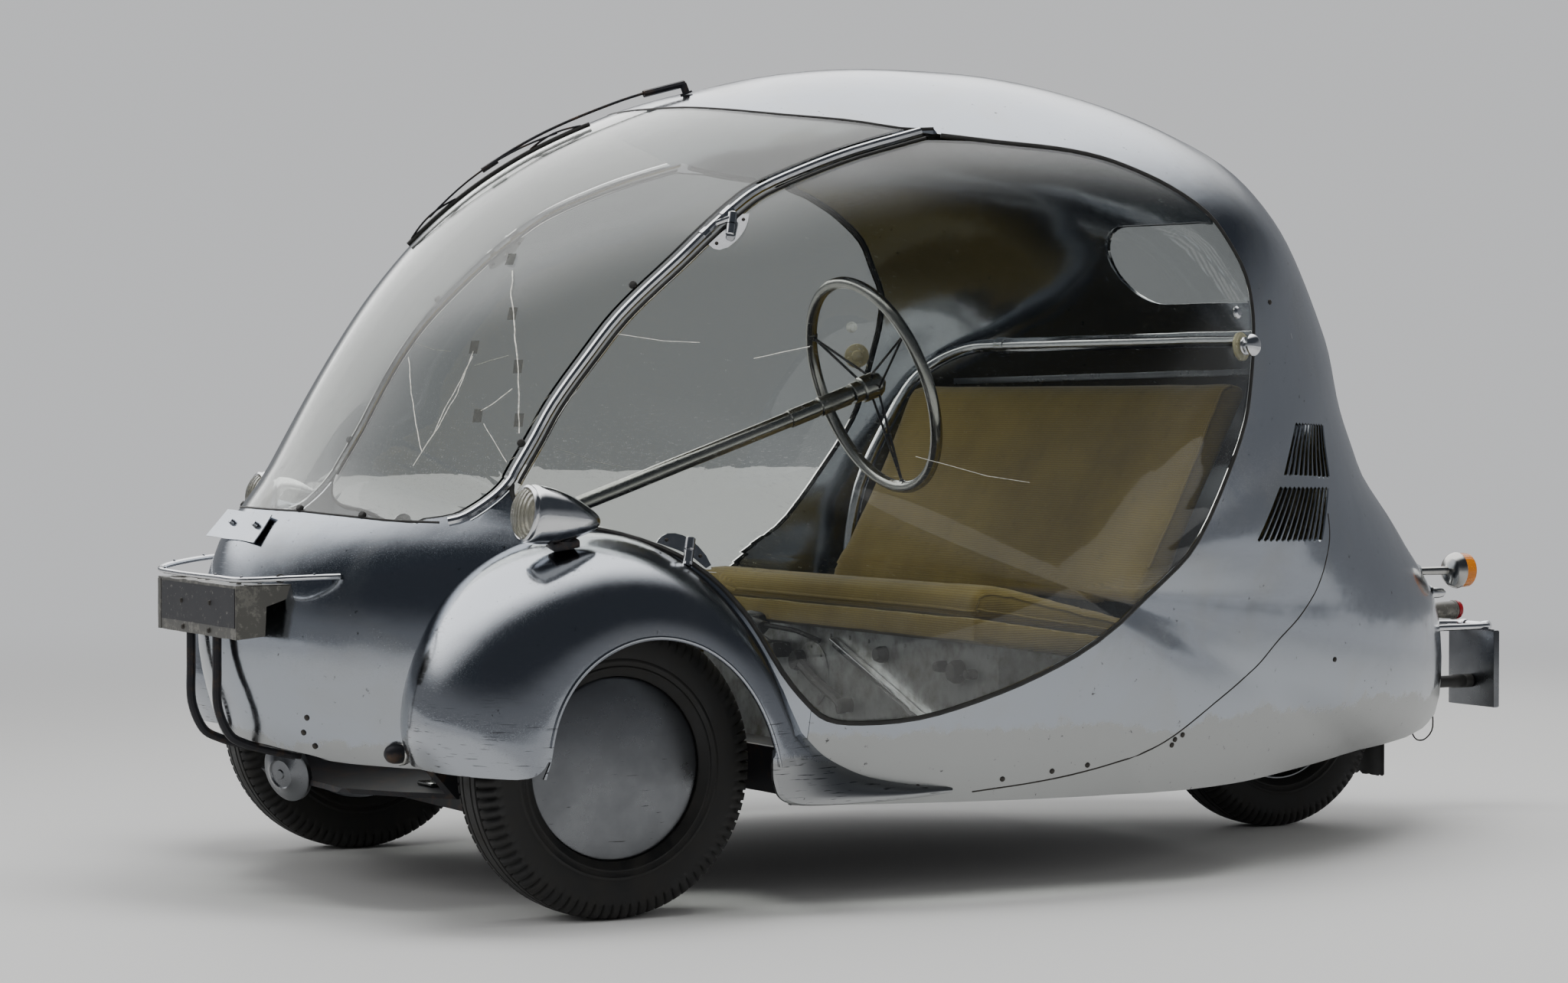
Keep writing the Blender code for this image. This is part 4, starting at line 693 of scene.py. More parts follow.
acrylic = clear_acrylic("clear_acrylic_sheet", "#F1F3F0", 0.006, 0.25)
rear_window = trimmed(panel_skin("rear_window_pane", 0.005), keep=(
    shear("pane", window_outline(fit), "y", 1.05, 2 * far),))
dressed(rear_window, acrylic, stands_for=("rear_window",))

# The screen's foot falls a little towards each pillar: rows of y and z, and of x and z
screen_foot = [(-0.351, 0.5555), (-0.317, 0.5530), (-0.280, 0.5480), (-0.235, 0.5420),
               (-0.203, 0.5390)]
screen_foot_rise = ((0.0, 0.5630), (0.117, 0.5605), (0.190, 0.5548), (0.248, 0.5490),
                    (0.320, 0.5465))


def screen_foot_z(x):
    for (a, low), (b, high) in zip(screen_foot_rise[:-1], screen_foot_rise[1:]):
        if abs(x) <= b:
            return low + (high - low) * (abs(x) - a) / (b - a)
    return screen_foot_rise[-1][1]


def ahead_of_pillars(name, distance):
    moved = [(y, z) for y, z in shifted(screen_path, distance) if y > -0.1990]
    outline = [(-far, screen_foot[0][1] - distance)] + [
        (y, z - distance) for y, z in screen_foot] + moved
    behind = moved[-1][0] + 0.05
    outline += [(behind, moved[-1][1] + 0.01), (behind, far), (-far, far)]
    return shear(name, outline, "x", -far, far)


def hole_grown(name, side, ahead, behind):
    # The door's outline, moved out ahead along the pillar and behind along the rest
    grown = shifted(pillar_path, -ahead) + shifted(back_path, -behind)
    low, high = (0.15, far) if side > 0 else (-far, -0.15)
    return shear(name, grown, "x", low, high)


windscreen = trimmed(panel_skin("windscreen_sheet", 0.005),
                     hole_grown("screen_near", 1, tube_half + 0.0015, 0.0),
                     hole_grown("screen_far", -1, tube_half + 0.0015, 0.0),
                     keep=(ahead_of_roof("screen_top", fit),
                           ahead_of_pillars("screen_side", -tube_half - fit)))
dressed(windscreen, acrylic, stands_for=("windscreen",))

# Black rubber strip closes the joint round the roof, the windscreen and the door holes.
rubber, tree, surface, where = new_material("black_rubber_strip")
chalk = noise_node(tree, where, 0.015, 5.0)
faded = blend(tree, chalk, "#0E0E0E", "#2B2A28")
feed(surface, Base_Color=faded, Roughness=0.55)


def roof_place(x, y, stand=0.0):
    # The place of the upper skin at an x and a y
    low, high = 60.0, 170.0
    for _ in range(30):
        middle = (low + high) / 2
        if on_skin(middle, x, stand)[1] > y:
            low = middle
        else:
            high = middle
    return on_skin(middle, x, stand)


def nose_place(x, z, stand=0.0):
    # The place of the front skin at an x and a z
    low, high = 120.0, 202.0
    for _ in range(30):
        middle = (low + high) / 2
        if on_skin(middle, x, stand)[2] > z:
            low = middle
        else:
            high = middle
    return on_skin(middle, x, stand)


strips = []
roof_run = [(-x, y) for x, y in roof_path[:0:-1]] + roof_path
strips.append(pipe("strip", [roof_place(x, y, -0.0012) for x, y in roof_run], 0.0026))
for side in (1, -1):
    behind = shifted(back_path, 0.0022)
    strips.append(pipe("strip", [(side * (skin_x(y, z) - 0.0015), y, z) for y, z in behind],
                       0.0038))
    ahead = shifted(pillar_path, tube_half + 0.0030)
    strips.append(pipe("strip", [(side * (skin_x(y, z) - 0.0020), y, z) for y, z in ahead],
                       0.0026))
dressed(joined("rubber_strips", strips), rubber)

# Nose cowl: one beaten sheet under the windscreen, open over the wheels, with a small corner
# behind each pillar's foot. Its top edge clamps the windscreen.
well_radius, well_x = 0.240, 0.330


def wheel_well(side):
    shape = bmesh.new()
    bmesh.ops.create_cone(shape, cap_ends=True, segments=96, radius1=well_radius,
                          radius2=well_radius, depth=far - well_x,
                          matrix=Matrix.Translation(from_axle(side * (far + well_x) / 2, 0, 0.210))
                          @ Matrix.Rotation(pi / 2, 4, "Y"))
    mesh = bpy.data.meshes.new("well")
    shape.to_mesh(mesh)
    shape.free()
    tool = bpy.data.objects.new("well", mesh)
    shears.objects.link(tool)
    return tool


tube_run = screen_path[4:]
band = shifted(tube_run, tube_half + fit) + shifted(tube_run, -tube_half - fit)[::-1]
cowl_foot = [(-0.480, 0.262), (-0.400, 0.240), (-0.320, 0.216), (-0.230, 0.204), (0.300, 0.190)]
cowl = trimmed(
    panel_skin("nose_cowl", 0.008), hole[1], hole[-1],
    shear("over_corner", [(-far, 0.640), (far * 2, 0.640), (far * 2, far * 2), (-far, far * 2)],
          "x", -far, far),
    ahead_of_pillars("over_cowl", -tube_half + fit), shear("tube_band", band, "x", -far, far),
    shear("under_cowl", [(-far, -far), (far, -far), (far, 0.190)]
          + rounded_path(cowl_foot, 4)[::-1] + [(-far, 0.262)], "x", -far, far),
    shear("behind_cowl", [(0.255, -far), (2 * far, -far), (2 * far, far), (0.255, far)],
          "x", -far, far),
    wheel_well(1), wheel_well(-1))
nose_sheet = dented_aluminium("polished_nose_sheet", "#A6ABB2", "#A4A5A4", (0.24, 0.14))
dressed(cowl, nose_sheet, stands_for=("cowl",))
joint = [nose_place(x / 100 * 0.30, screen_foot_z(x / 100 * 0.30) + 0.0002, -0.001)
         for x in range(-100, 101, 5)]
dressed(pipe("cowl_joint_strip", joint, 0.0020), rubber)
cowl_screws = [nose_place(x, z) for side in (1, -1)
               for x, z in ((side * 0.189, 0.271), (side * 0.176, 0.249), (side * 0.187, 0.230))]
dressed(screw_heads("cowl_screws", cowl_screws, 0.0045), grimy_steel)

# Fenders: each beaten from one sheet over the steered wheel, with a rolled edge
fender_rows = ((1, 0.258, 0.158), (10, 0.280, 0.153), (20, 0.293, 0.155), (36, 0.308, 0.163),
               (52, 0.324, 0.171), (70, 0.329, 0.178), (90, 0.326, 0.184), (110, 0.312, 0.186),
               (128, 0.298, 0.186), (145, 0.290, 0.186), (160, 0.292, 0.188),
               (172, 0.305, 0.192), (182, 0.325, 0.198), (190, 0.350, 0.215))
fender_x, fender_spread, inner_lean = 0.440, 0.172, -50.0
fender_curve = rounded_path([tuple(row) for row in fender_rows], 5)


def fender_place(side, share, lean, rise=0.0):
    # A place on the fender: share runs from its front end to its rear end
    spot = share * (len(fender_curve) - 1)
    index = min(int(spot), len(fender_curve) - 2)
    angle, crown, arch = Vector(fender_curve[index]).lerp(Vector(fender_curve[index + 1]),
                                                         spot - index)
    radius = arch + (crown - arch) * cos(radians(lean)) + rise
    return (side * (fender_x + fender_spread * sin(radians(lean))),
            -radius * cos(radians(angle)), 0.210 + radius * sin(radians(angle)))


def skin_form(name, stand):
    # The whole closed skin, grown by a little, to cut what lies on it
    tool = panel_skin(name, 0.0)
    tool.modifiers.clear()
    for corner in tool.data.vertices:
        out = Vector((corner.co.x / half_width ** 2, (corner.co.y - axle_y - axis_y) / 0.8,
                      (corner.co.z - axis_z) / 0.8)).normalized()
        corner.co += out * stand
    bpy.context.scene.collection.objects.unlink(tool)
    shears.objects.link(tool)
    return tool


# Behind the wheel each fender is drawn out into a tail along the sill. Rows: the tail's top
# edge on the skin, its outer edge, and how far it is crowned.
fender_share = 0.900
tail_rows = (((0.238, 0.264), (0.6120, 0.1890, 0.2370), 0.0085),
             ((0.256, 0.246), (0.6110, 0.1880, 0.2150), 0.0090),
             ((0.282, 0.223), (0.6095, 0.1905, 0.1920), 0.0095),
             ((0.314, 0.205), (0.6080, 0.2010, 0.1700), 0.0100),
             ((0.350, 0.190), (0.6065, 0.2280, 0.1580), 0.0100),
             ((0.388, 0.181), (0.6050, 0.2800, 0.1550), 0.0090),
             ((0.424, 0.175), (0.6040, 0.3400, 0.1553), 0.0075),
             ((0.454, 0.172), (0.6030, 0.4000, 0.1565), 0.0060),
             ((0.474, 0.170), (0.6015, 0.4500, 0.1590), 0.0040),
             ((0.484, 0.168), (0.6005, 0.4800, 0.1620), 0.0020))

grown_skin = skin_form("grown_skin", 0.0006)
fender_sheet = dented_aluminium("polished_fender_sheet", "#A5A9AF", "#A0A1A1", (0.215, 0.06),
                                (0.20, 0.36))
edges = []
for side, name in ((1, "left"), (-1, "right")):
    shape = bmesh.new()
    bmesh.ops.create_grid(shape, x_segments=96, y_segments=36, size=0.5)
    for corner in shape.verts:
        lean = inner_lean + (90.0 - inner_lean) * (corner.co.y + 0.5)
        corner.co = from_axle(*fender_place(side, (corner.co.x + 0.5) * fender_share, lean))
    bmesh.ops.recalc_face_normals(shape, faces=shape.faces)
    top = max(shape.faces, key=lambda face: face.calc_center_median().z)
    if top.normal.z < 0:
        bmesh.ops.reverse_faces(shape, faces=shape.faces)
    fender = made("fender_sheet_" + name, shape)
    wall = fender.modifiers.new("wall", "SOLIDIFY")
    wall.thickness = 0.004
    wall.offset = -1
    wall.use_even_offset = True
    # The front end's outer corner is cut round
    corner_cut = [(-0.170, 0.195), (-0.1515, 0.236)]
    corner_cut += [(-0.190 + 0.0385 * cos(radians(a)), 0.2525 + 0.0385 * sin(radians(a)))
                   for a in range(-25, -91, -13)]
    corner_cut += [(-0.195, 0.2135), (-0.195, 0.195)]
    trimmed(fender, grown_skin, shear("front_corner", corner_cut, "x",
                                      min(side * 0.50, side * far), max(side * 0.50, side * far)))
    dressed(fender, fender_sheet, stands_for=("fender_" + name,))
    rows = [((*top, 0), outer, (crown, 0, 0)) for top, outer, crown in tail_rows]
    tops, outers, crowns = (rounded_path([row[k] for row in rows], 6) for k in range(3))
    shape = bmesh.new()
    bmesh.ops.create_grid(shape, x_segments=len(tops) - 1, y_segments=14, size=0.5)
    for corner in shape.verts:
        index = int(round((corner.co.x + 0.5) * (len(tops) - 1)))
        share = corner.co.y + 0.5
        y, z, _ = tops[index]
        top = Vector((skin_x(y, z) + 0.0004, y, z))
        outer = Vector(outers[index])
        place = top.lerp(outer, min(1.0, share * 1.12))
        place.x += crowns[index][0] * sin(pi * min(1.0, share * 1.12) ** 0.8)
        if share * 1.12 > 1:
            # The edge is rolled in
            place += Vector((-0.090, 0.010, -0.008)) * (share * 1.12 - 1)
        corner.co = from_axle(side * place.x, place.y, place.z)
    bmesh.ops.recalc_face_normals(shape, faces=shape.faces)
    if max(shape.faces, key=lambda face: face.calc_center_median().z).normal.x * side < 0:
        bmesh.ops.reverse_faces(shape, faces=shape.faces)
    tail = made("fender_tail_" + name, shape)
    wall = tail.modifiers.new("wall", "SOLIDIFY")
    wall.thickness = 0.003
    wall.offset = -1
    settled(tail)
    dressed(tail, fender_sheet)
    rolled = [fender_place(side, 0.13 + (fender_share - 0.13) * step / 60, 88.0, -0.001)
              for step in range(61)]
    edges.append(pipe("edge", rolled, 0.0022, sides=8))
dressed(joined("fender_rolled_edges", edges), fender_sheet)

# Pillars: chromed tube between the windscreen and the door
for side, name in ((1, "left"), (-1, "right")):
    run = [(side * skin_x(y, z), y, z) for y, z in screen_path[2:]]
    dressed(pipe("pillar_tube_" + name, run, tube_half - 0.0002, sides=16), chrome_plate,
            stands_for=("pillar_" + name,))

# Doors: one clear panel a side, held by two hinges, with no frame
inset_share = 0.93


def grown_outline(outline, distances):
    # The outline moved out point by point, less the points that come too near another stretch
    count = len(outline)
    area = sum(outline[i][0] * outline[(i + 1) % count][1]
               - outline[(i + 1) % count][0] * outline[i][1] for i in range(count))
    hand = 1 if area > 0 else -1
    moved = []
    for index in range(count):
        before, here, after = (Vector(outline[(index + k) % count]) for k in (-1, 0, 1))
        first, second = (here - before).normalized(), (after - here).normalized()
        out = Vector((first.y + second.y, -first.x - second.x)).normalized() * hand
        lean = max(0.5, out.dot(Vector((first.y, -first.x)) * hand))
        moved.append(here + out * distances[index] / lean)
    left = []
    for point in moved:
        clear = True
        for index in range(count):
            start, end = Vector(outline[index]), Vector(outline[(index + 1) % count])
            run = end - start
            share = min(1.0, max(0.0, (point - start).dot(run) / run.length_squared))
            wanted = -min(distances[index], distances[(index + 1) % count]) * inset_share
            if wanted > 0 and (point - start - run * share).length < wanted:
                clear = False
        if clear:
            left.append(tuple(point))
    return left


door_outline = grown_outline(whole, [-tube_half - running_gap] * len(pillar_path)
                             + [-running_gap] * len(back_path))
for side, name in ((1, "left"), (-1, "right")):
    door = trimmed(panel_skin("door_panel_" + name, 0.005), keep=(
        shear("door", door_outline, "x", *sorted((side * 0.15, side * far))),))
    dressed(door, acrylic, body="door_" + name, stands_for=("door_" + name,))

# Door hinges: a cast leaf screwed on the panel, with half a barrel on the door and half on
# the body, and a button knob at the door's rear edge
hinge_top = (skin_x(0.236, 0.972) + 0.0125, 0.236, 0.972)
hinge_foot = (skin_x(0.105, 0.511) + 0.0125, 0.105, 0.511)
hinge_axis = (Vector(hinge_top) - Vector(hinge_foot)).normalized()
leaves = {
    "hinge_top": (hinge_top, 1, [
        (0.202, 0.942), (0.206, 0.936), (0.213, 0.934), (0.225, 0.938), (0.236, 0.946),
        (0.245, 0.954), (0.254, 0.964), (0.262, 0.976), (0.268, 0.988), (0.259, 0.987),
        (0.240, 0.972), (0.220, 0.957)],
        ((0.213, 0.943), (0.258, 0.978))),
    "hinge_foot": (hinge_foot, -1, [
        (0.071, 0.521), (0.074, 0.525), (0.080, 0.530), (0.088, 0.5335), (0.097, 0.534),
        (0.107, 0.531), (0.116, 0.524), (0.123, 0.515), (0.129, 0.503), (0.132, 0.490),
        (0.125, 0.486), (0.111, 0.502), (0.095, 0.511)],
        ((0.085, 0.524), (0.122, 0.502)))}
for kind, (middle, up, outline, screws) in leaves.items():
    for side, name in ((1, "left"), (-1, "right")):
        x, y, z = middle
        lean = (side * hinge_axis.x, hinge_axis.y, hinge_axis.z)
        place = (side * x, y, z)
        end, start = -up * 0.018, -up * 0.00025
        low, high = sorted((end, start))
        parts = [lathe("barrel", [(0, high), (0.0060, high), (0.0070, high - 0.001),
                                  (0.0070, low + 0.0015), (0.0055, low), (0, low)],
                       place, lean, 24)]
        shape = bmesh.new()
        ring = [shape.verts.new((0, a, b)) for a, b in outline]
        face = shape.faces.new(ring)
        bmesh.ops.inset_region(shape, faces=[face], thickness=0.0016)
        bmesh.ops.inset_region(shape, faces=[face], thickness=0.0010)
        drop = set(face.verts)
        for corner in shape.verts:
            spot_y, spot_z = corner.co.y, corner.co.z
            rise = 0.0022 if corner in drop else 0.0030
            corner.co = from_axle(side * (skin_x(spot_y, spot_z) + rise), spot_y, spot_z)
        pulled(shape, shape.faces[:], (-side * 0.0023, 0, 0))
        bmesh.ops.recalc_face_normals(shape, faces=shape.faces)
        parts.append(made("leaf", shape))
        web_low, web_high = sorted((end * 0.92, end * 0.40))
        parts.append(lathe("web", [(0, web_high), (0.0050, web_high), (0.0058, web_low),
                                   (0, web_low)],
                           (side * (x - 0.0075), y + 0.002, z), lean, 16))
        dressed(joined(kind + "_door_half_" + name, parts), chrome_plate, body="door_" + name,
                stands_for=(kind + "_" + name,))
        heads = screw_heads(kind + "_screws_" + name, [beside(a, b, side) for a, b in screws],
                            0.0030, 0.0040)
        dressed(heads, grimy_steel, body="door_" + name)
        low, high = sorted((up * 0.00025, up * 0.018))
        parts = [lathe("barrel", [(0, high), (0.0055, high), (0.0070, high - 0.0015),
                                  (0.0070, low), (0, low)], place, lean, 24)]
        if up > 0:
            lug = [(side * (x - 0.002), y - 0.001, z + 0.008),
                   (side * (skin_x(0.222, 0.973) + 0.0058), 0.2205, 0.973)]
            parts.append(pipe("lug", lug, 0.0045))
            for run in ((-0.030, -0.018), (0.014, 0.034)):
                spots = [Vector(beside(*pillar_path[i], side)) for i in (22, 28)]
                ahead = (spots[1] - spots[0]).normalized()
                foot = Vector(beside(0.222, 0.973, side))
                parts.append(pipe("collar", [foot + ahead * run[0], foot + ahead * run[1]],
                                  0.0082))
        else:
            parts.append(pipe("foot", [Vector(place) - Vector(lean) * 0.004,
                                       Vector(place) - Vector(lean) * 0.0215], 0.0068))
        dressed(joined(kind.replace("hinge", "hinge_body_half") + "_" + name, parts),
                chrome_plate,
                stands_for=(kind.replace("hinge", "bracket") + "_" + name,))

for side, name in ((1, "left"), (-1, "right")):
    x, y, z = beside(1.002, 0.800, side)
    stand = Vector(off_skin(x, y, z, 1.0)) - Vector((x, y, z))
    knob = lathe("door_button_" + name, [
        (0, 0.0250), (0.006, 0.0245), (0.011, 0.0225), (0.0150, 0.0190), (0.0168, 0.0150),
        (0.0160, 0.0118), (0.0105, 0.0095), (0.0080, 0.0070), (0.0080, 0.0045),
        (0.0130, 0.0035), (0.0140, 0.0018), (0.0140, 0.0006), (0, 0.0006)], (x, y, z), stand, 40)
    dressed(knob, chrome_plate, body="door_" + name,
            stands_for=("door_knob_" + name,))

# Floor and running gear: a folded floor pan, a forged beam axle with kingpins, and a swing
# arm of welded bar for the rear wheel, all in black oily steel. The mill finish made here is for
# the seat base.
pan_sheet, tree, surface, where = new_material("mill_finish_aluminium")
dirt = noise_node(tree, where, 0.060, 6.0, 0.65)
grit = noise_node(tree, where, 0.004, 3.0)
dirty = ranged(tree, dirt, 0.42, 0.66)
shade = blend(tree, dirty, "#B4B6B6", "#7C7A74")
rough = ranged(tree, dirt, 0.3, 0.7, 0.30, 0.58)
rise = node(tree, "Bump", Strength=0.20, Distance=0.0003, Height=grit)
feed(surface, Base_Color=shade, Roughness=rough, Normal=rise, Metallic=0.9)

oily_steel, tree, surface, where = new_material("oily_black_steel")
rust = noise_node(tree, where, 0.030, 6.0, 0.7)
rusty = ranged(tree, rust, 0.52, 0.70)
shade = blend(tree, rusty, "#26262A", "#4A3A2E")
flake = node(tree, "Bump", Strength=0.35, Distance=0.0005, Height=rust)
feed(surface, Base_Color=shade, Normal=flake, Metallic=0.5, Roughness=0.48)


def finish_solid(name, material):
    # A solid whose shape is right keeps it, and takes a better finish
    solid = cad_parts[name]
    if not solid.data.materials:
        solid.data.materials.append(material)
    for spot in solid.material_slots:
        spot.material = material


for name in ("floor", "front_axle", "knuckle_left", "knuckle_right", "rear_fork", "motor",
             "battery"):
    finish_solid(name, oily_steel)
bolts = [lathe("bolt", [(0, 0.005), (0.0055, 0.005), (0.0065, 0.003), (0.0065, 0), (0, 0)],
               place, lean, 6, 20.0)
         for place, lean in (
             [((side * 0.150 + along, 0.0, 0.105), (0, 0, -1)) for side in (1, -1)
              for along in (-0.012, 0.012)]
             + [((side * 0.0842, 1.472, 0.200), (side, 0, 0))
                for side in (1, -1)])]
dressed(joined("running_gear_bolts", bolts), oily_steel)

# Tyres: black rubber on steel rims, with block shoulders, three centre ribs and two raised
# rings moulded on the sidewall. Dust lies on them in patches.
tyre_rubber, tree, surface, where = new_material("vulcanised_rubber")
dust = noise_node(tree, where, 0.040, 6.0, 0.7)
dusted = ranged(tree, dust, 0.40, 0.72)
shade = blend(tree, dusted, "#101010", "#24221F")
rough = ranged(tree, dust, 0.3, 0.7, 0.52, 0.80)
grain = noise_node(tree, where, 0.0020, 3.0)
rise = node(tree, "Bump", Strength=0.25, Distance=0.0003, Height=grain)
feed(surface, Base_Color=shade, Roughness=rough, Normal=rise)

block_pitch = 0.015


def tyre(name, radius, bead, middle):
    side_wall = [(bead, 0.0360), (bead + 0.0030, 0.0395), (bead + 0.0085, 0.0440),
                 (bead + 0.0110, 0.0466), (bead + 0.0130, 0.0468), (bead + 0.0150, 0.0454),
                 (bead + 0.0190, 0.0466), (bead + 0.0210, 0.0484), (bead + 0.0230, 0.0484),
                 (bead + 0.0250, 0.0472), (bead + 0.0340, 0.0492),
                 (radius - 0.0330, 0.0500), (radius - 0.0235, 0.0494), (radius - 0.0180, 0.0480),
                 (radius - 0.0110, 0.0448), (radius - 0.0055, 0.0395), (radius - 0.0022, 0.0335),
                 (radius - 0.0012, 0.0290), (radius - 0.0060, 0.0278), (radius - 0.0060, 0.0252),
                 (radius - 0.0008, 0.0240), (radius - 0.0002, 0.0150), (radius - 0.0055, 0.0138),
                 (radius - 0.0055, 0.0112), (radius, 0.0100)]
    section = side_wall + [(r, -x) for r, x in side_wall[::-1]] + [side_wall[0]]
    blocks = int(round(2 * pi * radius / block_pitch))
    steps = blocks * 4
    piece = lathe(name, section, middle, (1, 0, 0), steps)
    centre = from_axle(*middle)
    notch = (0.0, 0.06, 0.24, 0.30)
    for corner in piece.data.vertices:
        spot = corner.co - centre
        away, turn = hypot(spot.y, spot.z), atan2(spot.z, spot.y)
        step = int(round((turn / (2 * pi)) * steps)) % steps
        part = step % 4
        turn += (notch[part] - part / 4) * 2 * pi / blocks
        if away > radius - 0.020 and abs(spot.x) > 0.0285 and part in (1, 2):
            away -= 0.0042
            spot.x -= 0.0022 * (1 if spot.x > 0 else -1)
        corner.co = centre + Vector((spot.x, away * cos(turn), away * sin(turn)))
    piece.data.update()
    return piece


# Front wheels: a steel rim behind a smooth domed cover, spun from aluminium sheet, dulled
# and scuffed in the middle. The hub takes the stub axle from behind.
cover_sheet, tree, surface, where = new_material("spun_aluminium_cover")
cloud = noise_node(tree, where, 0.070, 6.0, 0.6)
laid = node(tree, "Mapping", Vector=where, Rotation=(0.5, 0.0, 0.0), Scale=(300.0, 22.0, 420.0))
scuff = node(tree, "TexNoise", Vector=laid, Scale=1.0, Detail=3.0)
scuffed = ranged(tree, scuff, 0.70, 0.76)
clouded = ranged(tree, cloud, 0.35, 0.70)
shade = blend(tree, clouded, "#75777A", "#696B6E")
marked = blend(tree, scuffed, shade, "#3A3A3B")
rough = ranged(tree, cloud, 0.3, 0.7, 0.22, 0.40)
beat = noise_node(tree, where, 0.045, 1.0)
wave = node(tree, "Bump", Strength=0.35, Distance=0.0012, Height=beat)
feed(surface, Base_Color=marked, Roughness=rough, Normal=wave, Metallic=1.0)

track_half, front_bead, rear_bead = 0.464, 0.128, 0.118
rear_hub = (0, 1.472, 0.200)
for side, name in ((1, "left"), (-1, "right")):
    middle = (side * track_half, 0, 0.210)
    dressed(tyre("front_tyre_" + name, 0.210, front_bead + fit, middle), tyre_rubber,
            body="front_wheel_" + name, stands_for=("tyre_front_" + name,))
    disc = lathe("front_wheel_disc_" + name, [
        (0, 0.0470), (0.015, 0.0468), (0.030, 0.0463), (0.048, 0.0452), (0.066, 0.0436),
        (0.083, 0.0416), (0.098, 0.0393), (0.109, 0.0373), (0.1180, 0.0354), (0.1235, 0.0341),
        (0.1262, 0.0333), (0.1276, 0.0322), (0.1280, 0.0305),
        (0.1280, -0.0348), (0.1272, -0.0354), (0.1205, -0.0350), (0.1195, -0.0330),
        (0.1080, -0.0105), (0.0900, -0.0100), (0.0470, -0.0105), (0.0450, -0.0120),
        (0.0400, -0.0385), (0.0385, -0.0400), (0.0130, -0.0400), (0.0115, -0.0390),
        (0.0115, 0.0140), (0, 0.0140)], middle, (side, 0, 0), 96)
    dressed(disc, cover_sheet, body="front_wheel_" + name,
            stands_for=("wheel_front_" + name,))
    stub = [lathe("nut", [(0, -0.0405), (0.0095, -0.0405), (0.0105, -0.0420), (0.0105, -0.0470),
                          (0.0095, -0.0480), (0, -0.0480)], middle, (side, 0, 0), 6, 20.0),
            lathe("cap", [(0, 0.305), (0.006, 0.305), (0.0078, 0.303), (0.0080, 0.2995),
                          (0, 0.2995)], (side * 0.378, 0, 0), (0, 0, 1), 20)]
    dressed(joined("kingpin_cap_" + name, stub), oily_steel, body="knuckle_" + name)

# Rear wheel: the same kind of tyre on a narrower rim, between the swing arm's two bars
dressed(tyre("rear_tyre", 0.200, rear_bead + fit, rear_hub), tyre_rubber, body="rear_wheel",
        stands_for=("tyre_rear",))
rear_profile = [(0.0118, 0.0520), (0.0290, 0.0520), (0.0300, 0.0510), (0.0340, 0.0215),
                (0.0400, 0.0180), (0.0600, 0.0175), (0.0850, 0.0172), (0.1000, 0.0200),
                (0.1050, 0.0214), (0.1140, 0.0330), (0.1160, 0.0350), (0.1180, 0.0350)]
disc = lathe("rear_wheel_disc", rear_profile + [(r, -x) for r, x in rear_profile[::-1]]
             + rear_profile[:1], rear_hub, (1, 0, 0), 88)
dressed(disc, cover_sheet, body="rear_wheel", stands_for=("wheel_rear",))

# Seat base: a folded aluminium box under the bench, with the motor's levers, the pedal and
# the brake crank bolted on its front
base_front, bench_half = 0.640, 0.470


def base_z(y):
    return 0.356 - (y - base_front) * 0.149


def cushion_z(y):
    return 0.450 - (y - base_front) * 0.217


finish_solid("seat_base", pan_sheet)
crank_plate = lathe("crank_plate", [(0, 0.0030), (0.050, 0.0030), (0.0525, 0.0018),
                                    (0.0525, 0.0001), (0, 0.0001)],
                    (-0.089, base_front, 0.280), (0, -1, 0), 48)
fittings = [crank_plate]
for turn in range(0, 360, 45):
    fittings.append(lathe("rivet", [(0, 0.0050), (0.0022, 0.0045), (0.0032, 0.0028), (0, 0.0028)],
                          (-0.089 + 0.045 * cos(radians(turn)), base_front,
                           0.280 + 0.045 * sin(radians(turn))), (0, -1, 0), 10))
for x, z in ((-0.03, 0.345), (0.03, 0.345), (0.09, 0.343), (0.20, 0.342), (0.44, 0.340),
             (-0.20, 0.200), (-0.05, 0.190), (0.12, 0.188), (0.30, 0.190), (0.44, 0.200)):
    fittings.append(lathe("rivet", [(0, 0.0022), (0.0024, 0.0018), (0.0034, 0.0001), (0, 0.0001)],
                          (x, base_front, z), (0, -1, 0), 10))
dressed(joined("seat_base_plate", fittings), pan_sheet)


def bar(name, start, end, width, depth, edge=0.001):
    # A flat bar from one place to the other, with its edges broken
    shape = bmesh.new()
    bmesh.ops.create_cube(shape, size=1.0)
    start, end = from_axle(*start), from_axle(*end)
    run = end - start
    bmesh.ops.scale(shape, vec=(width, depth, run.length), verts=shape.verts)
    bmesh.ops.bevel(shape, geom=shape.edges[:], offset=edge, segments=2, profile=0.5,
                    affect="EDGES", material=-1)
    turn = Vector((0, 0, 1)).rotation_difference(run).to_matrix().to_4x4()
    bmesh.ops.transform(shape, matrix=Matrix.Translation((start + end) / 2) @ turn,
                        verts=shape.verts)
    bmesh.ops.recalc_face_normals(shape, faces=shape.faces)
    return made(name, shape)


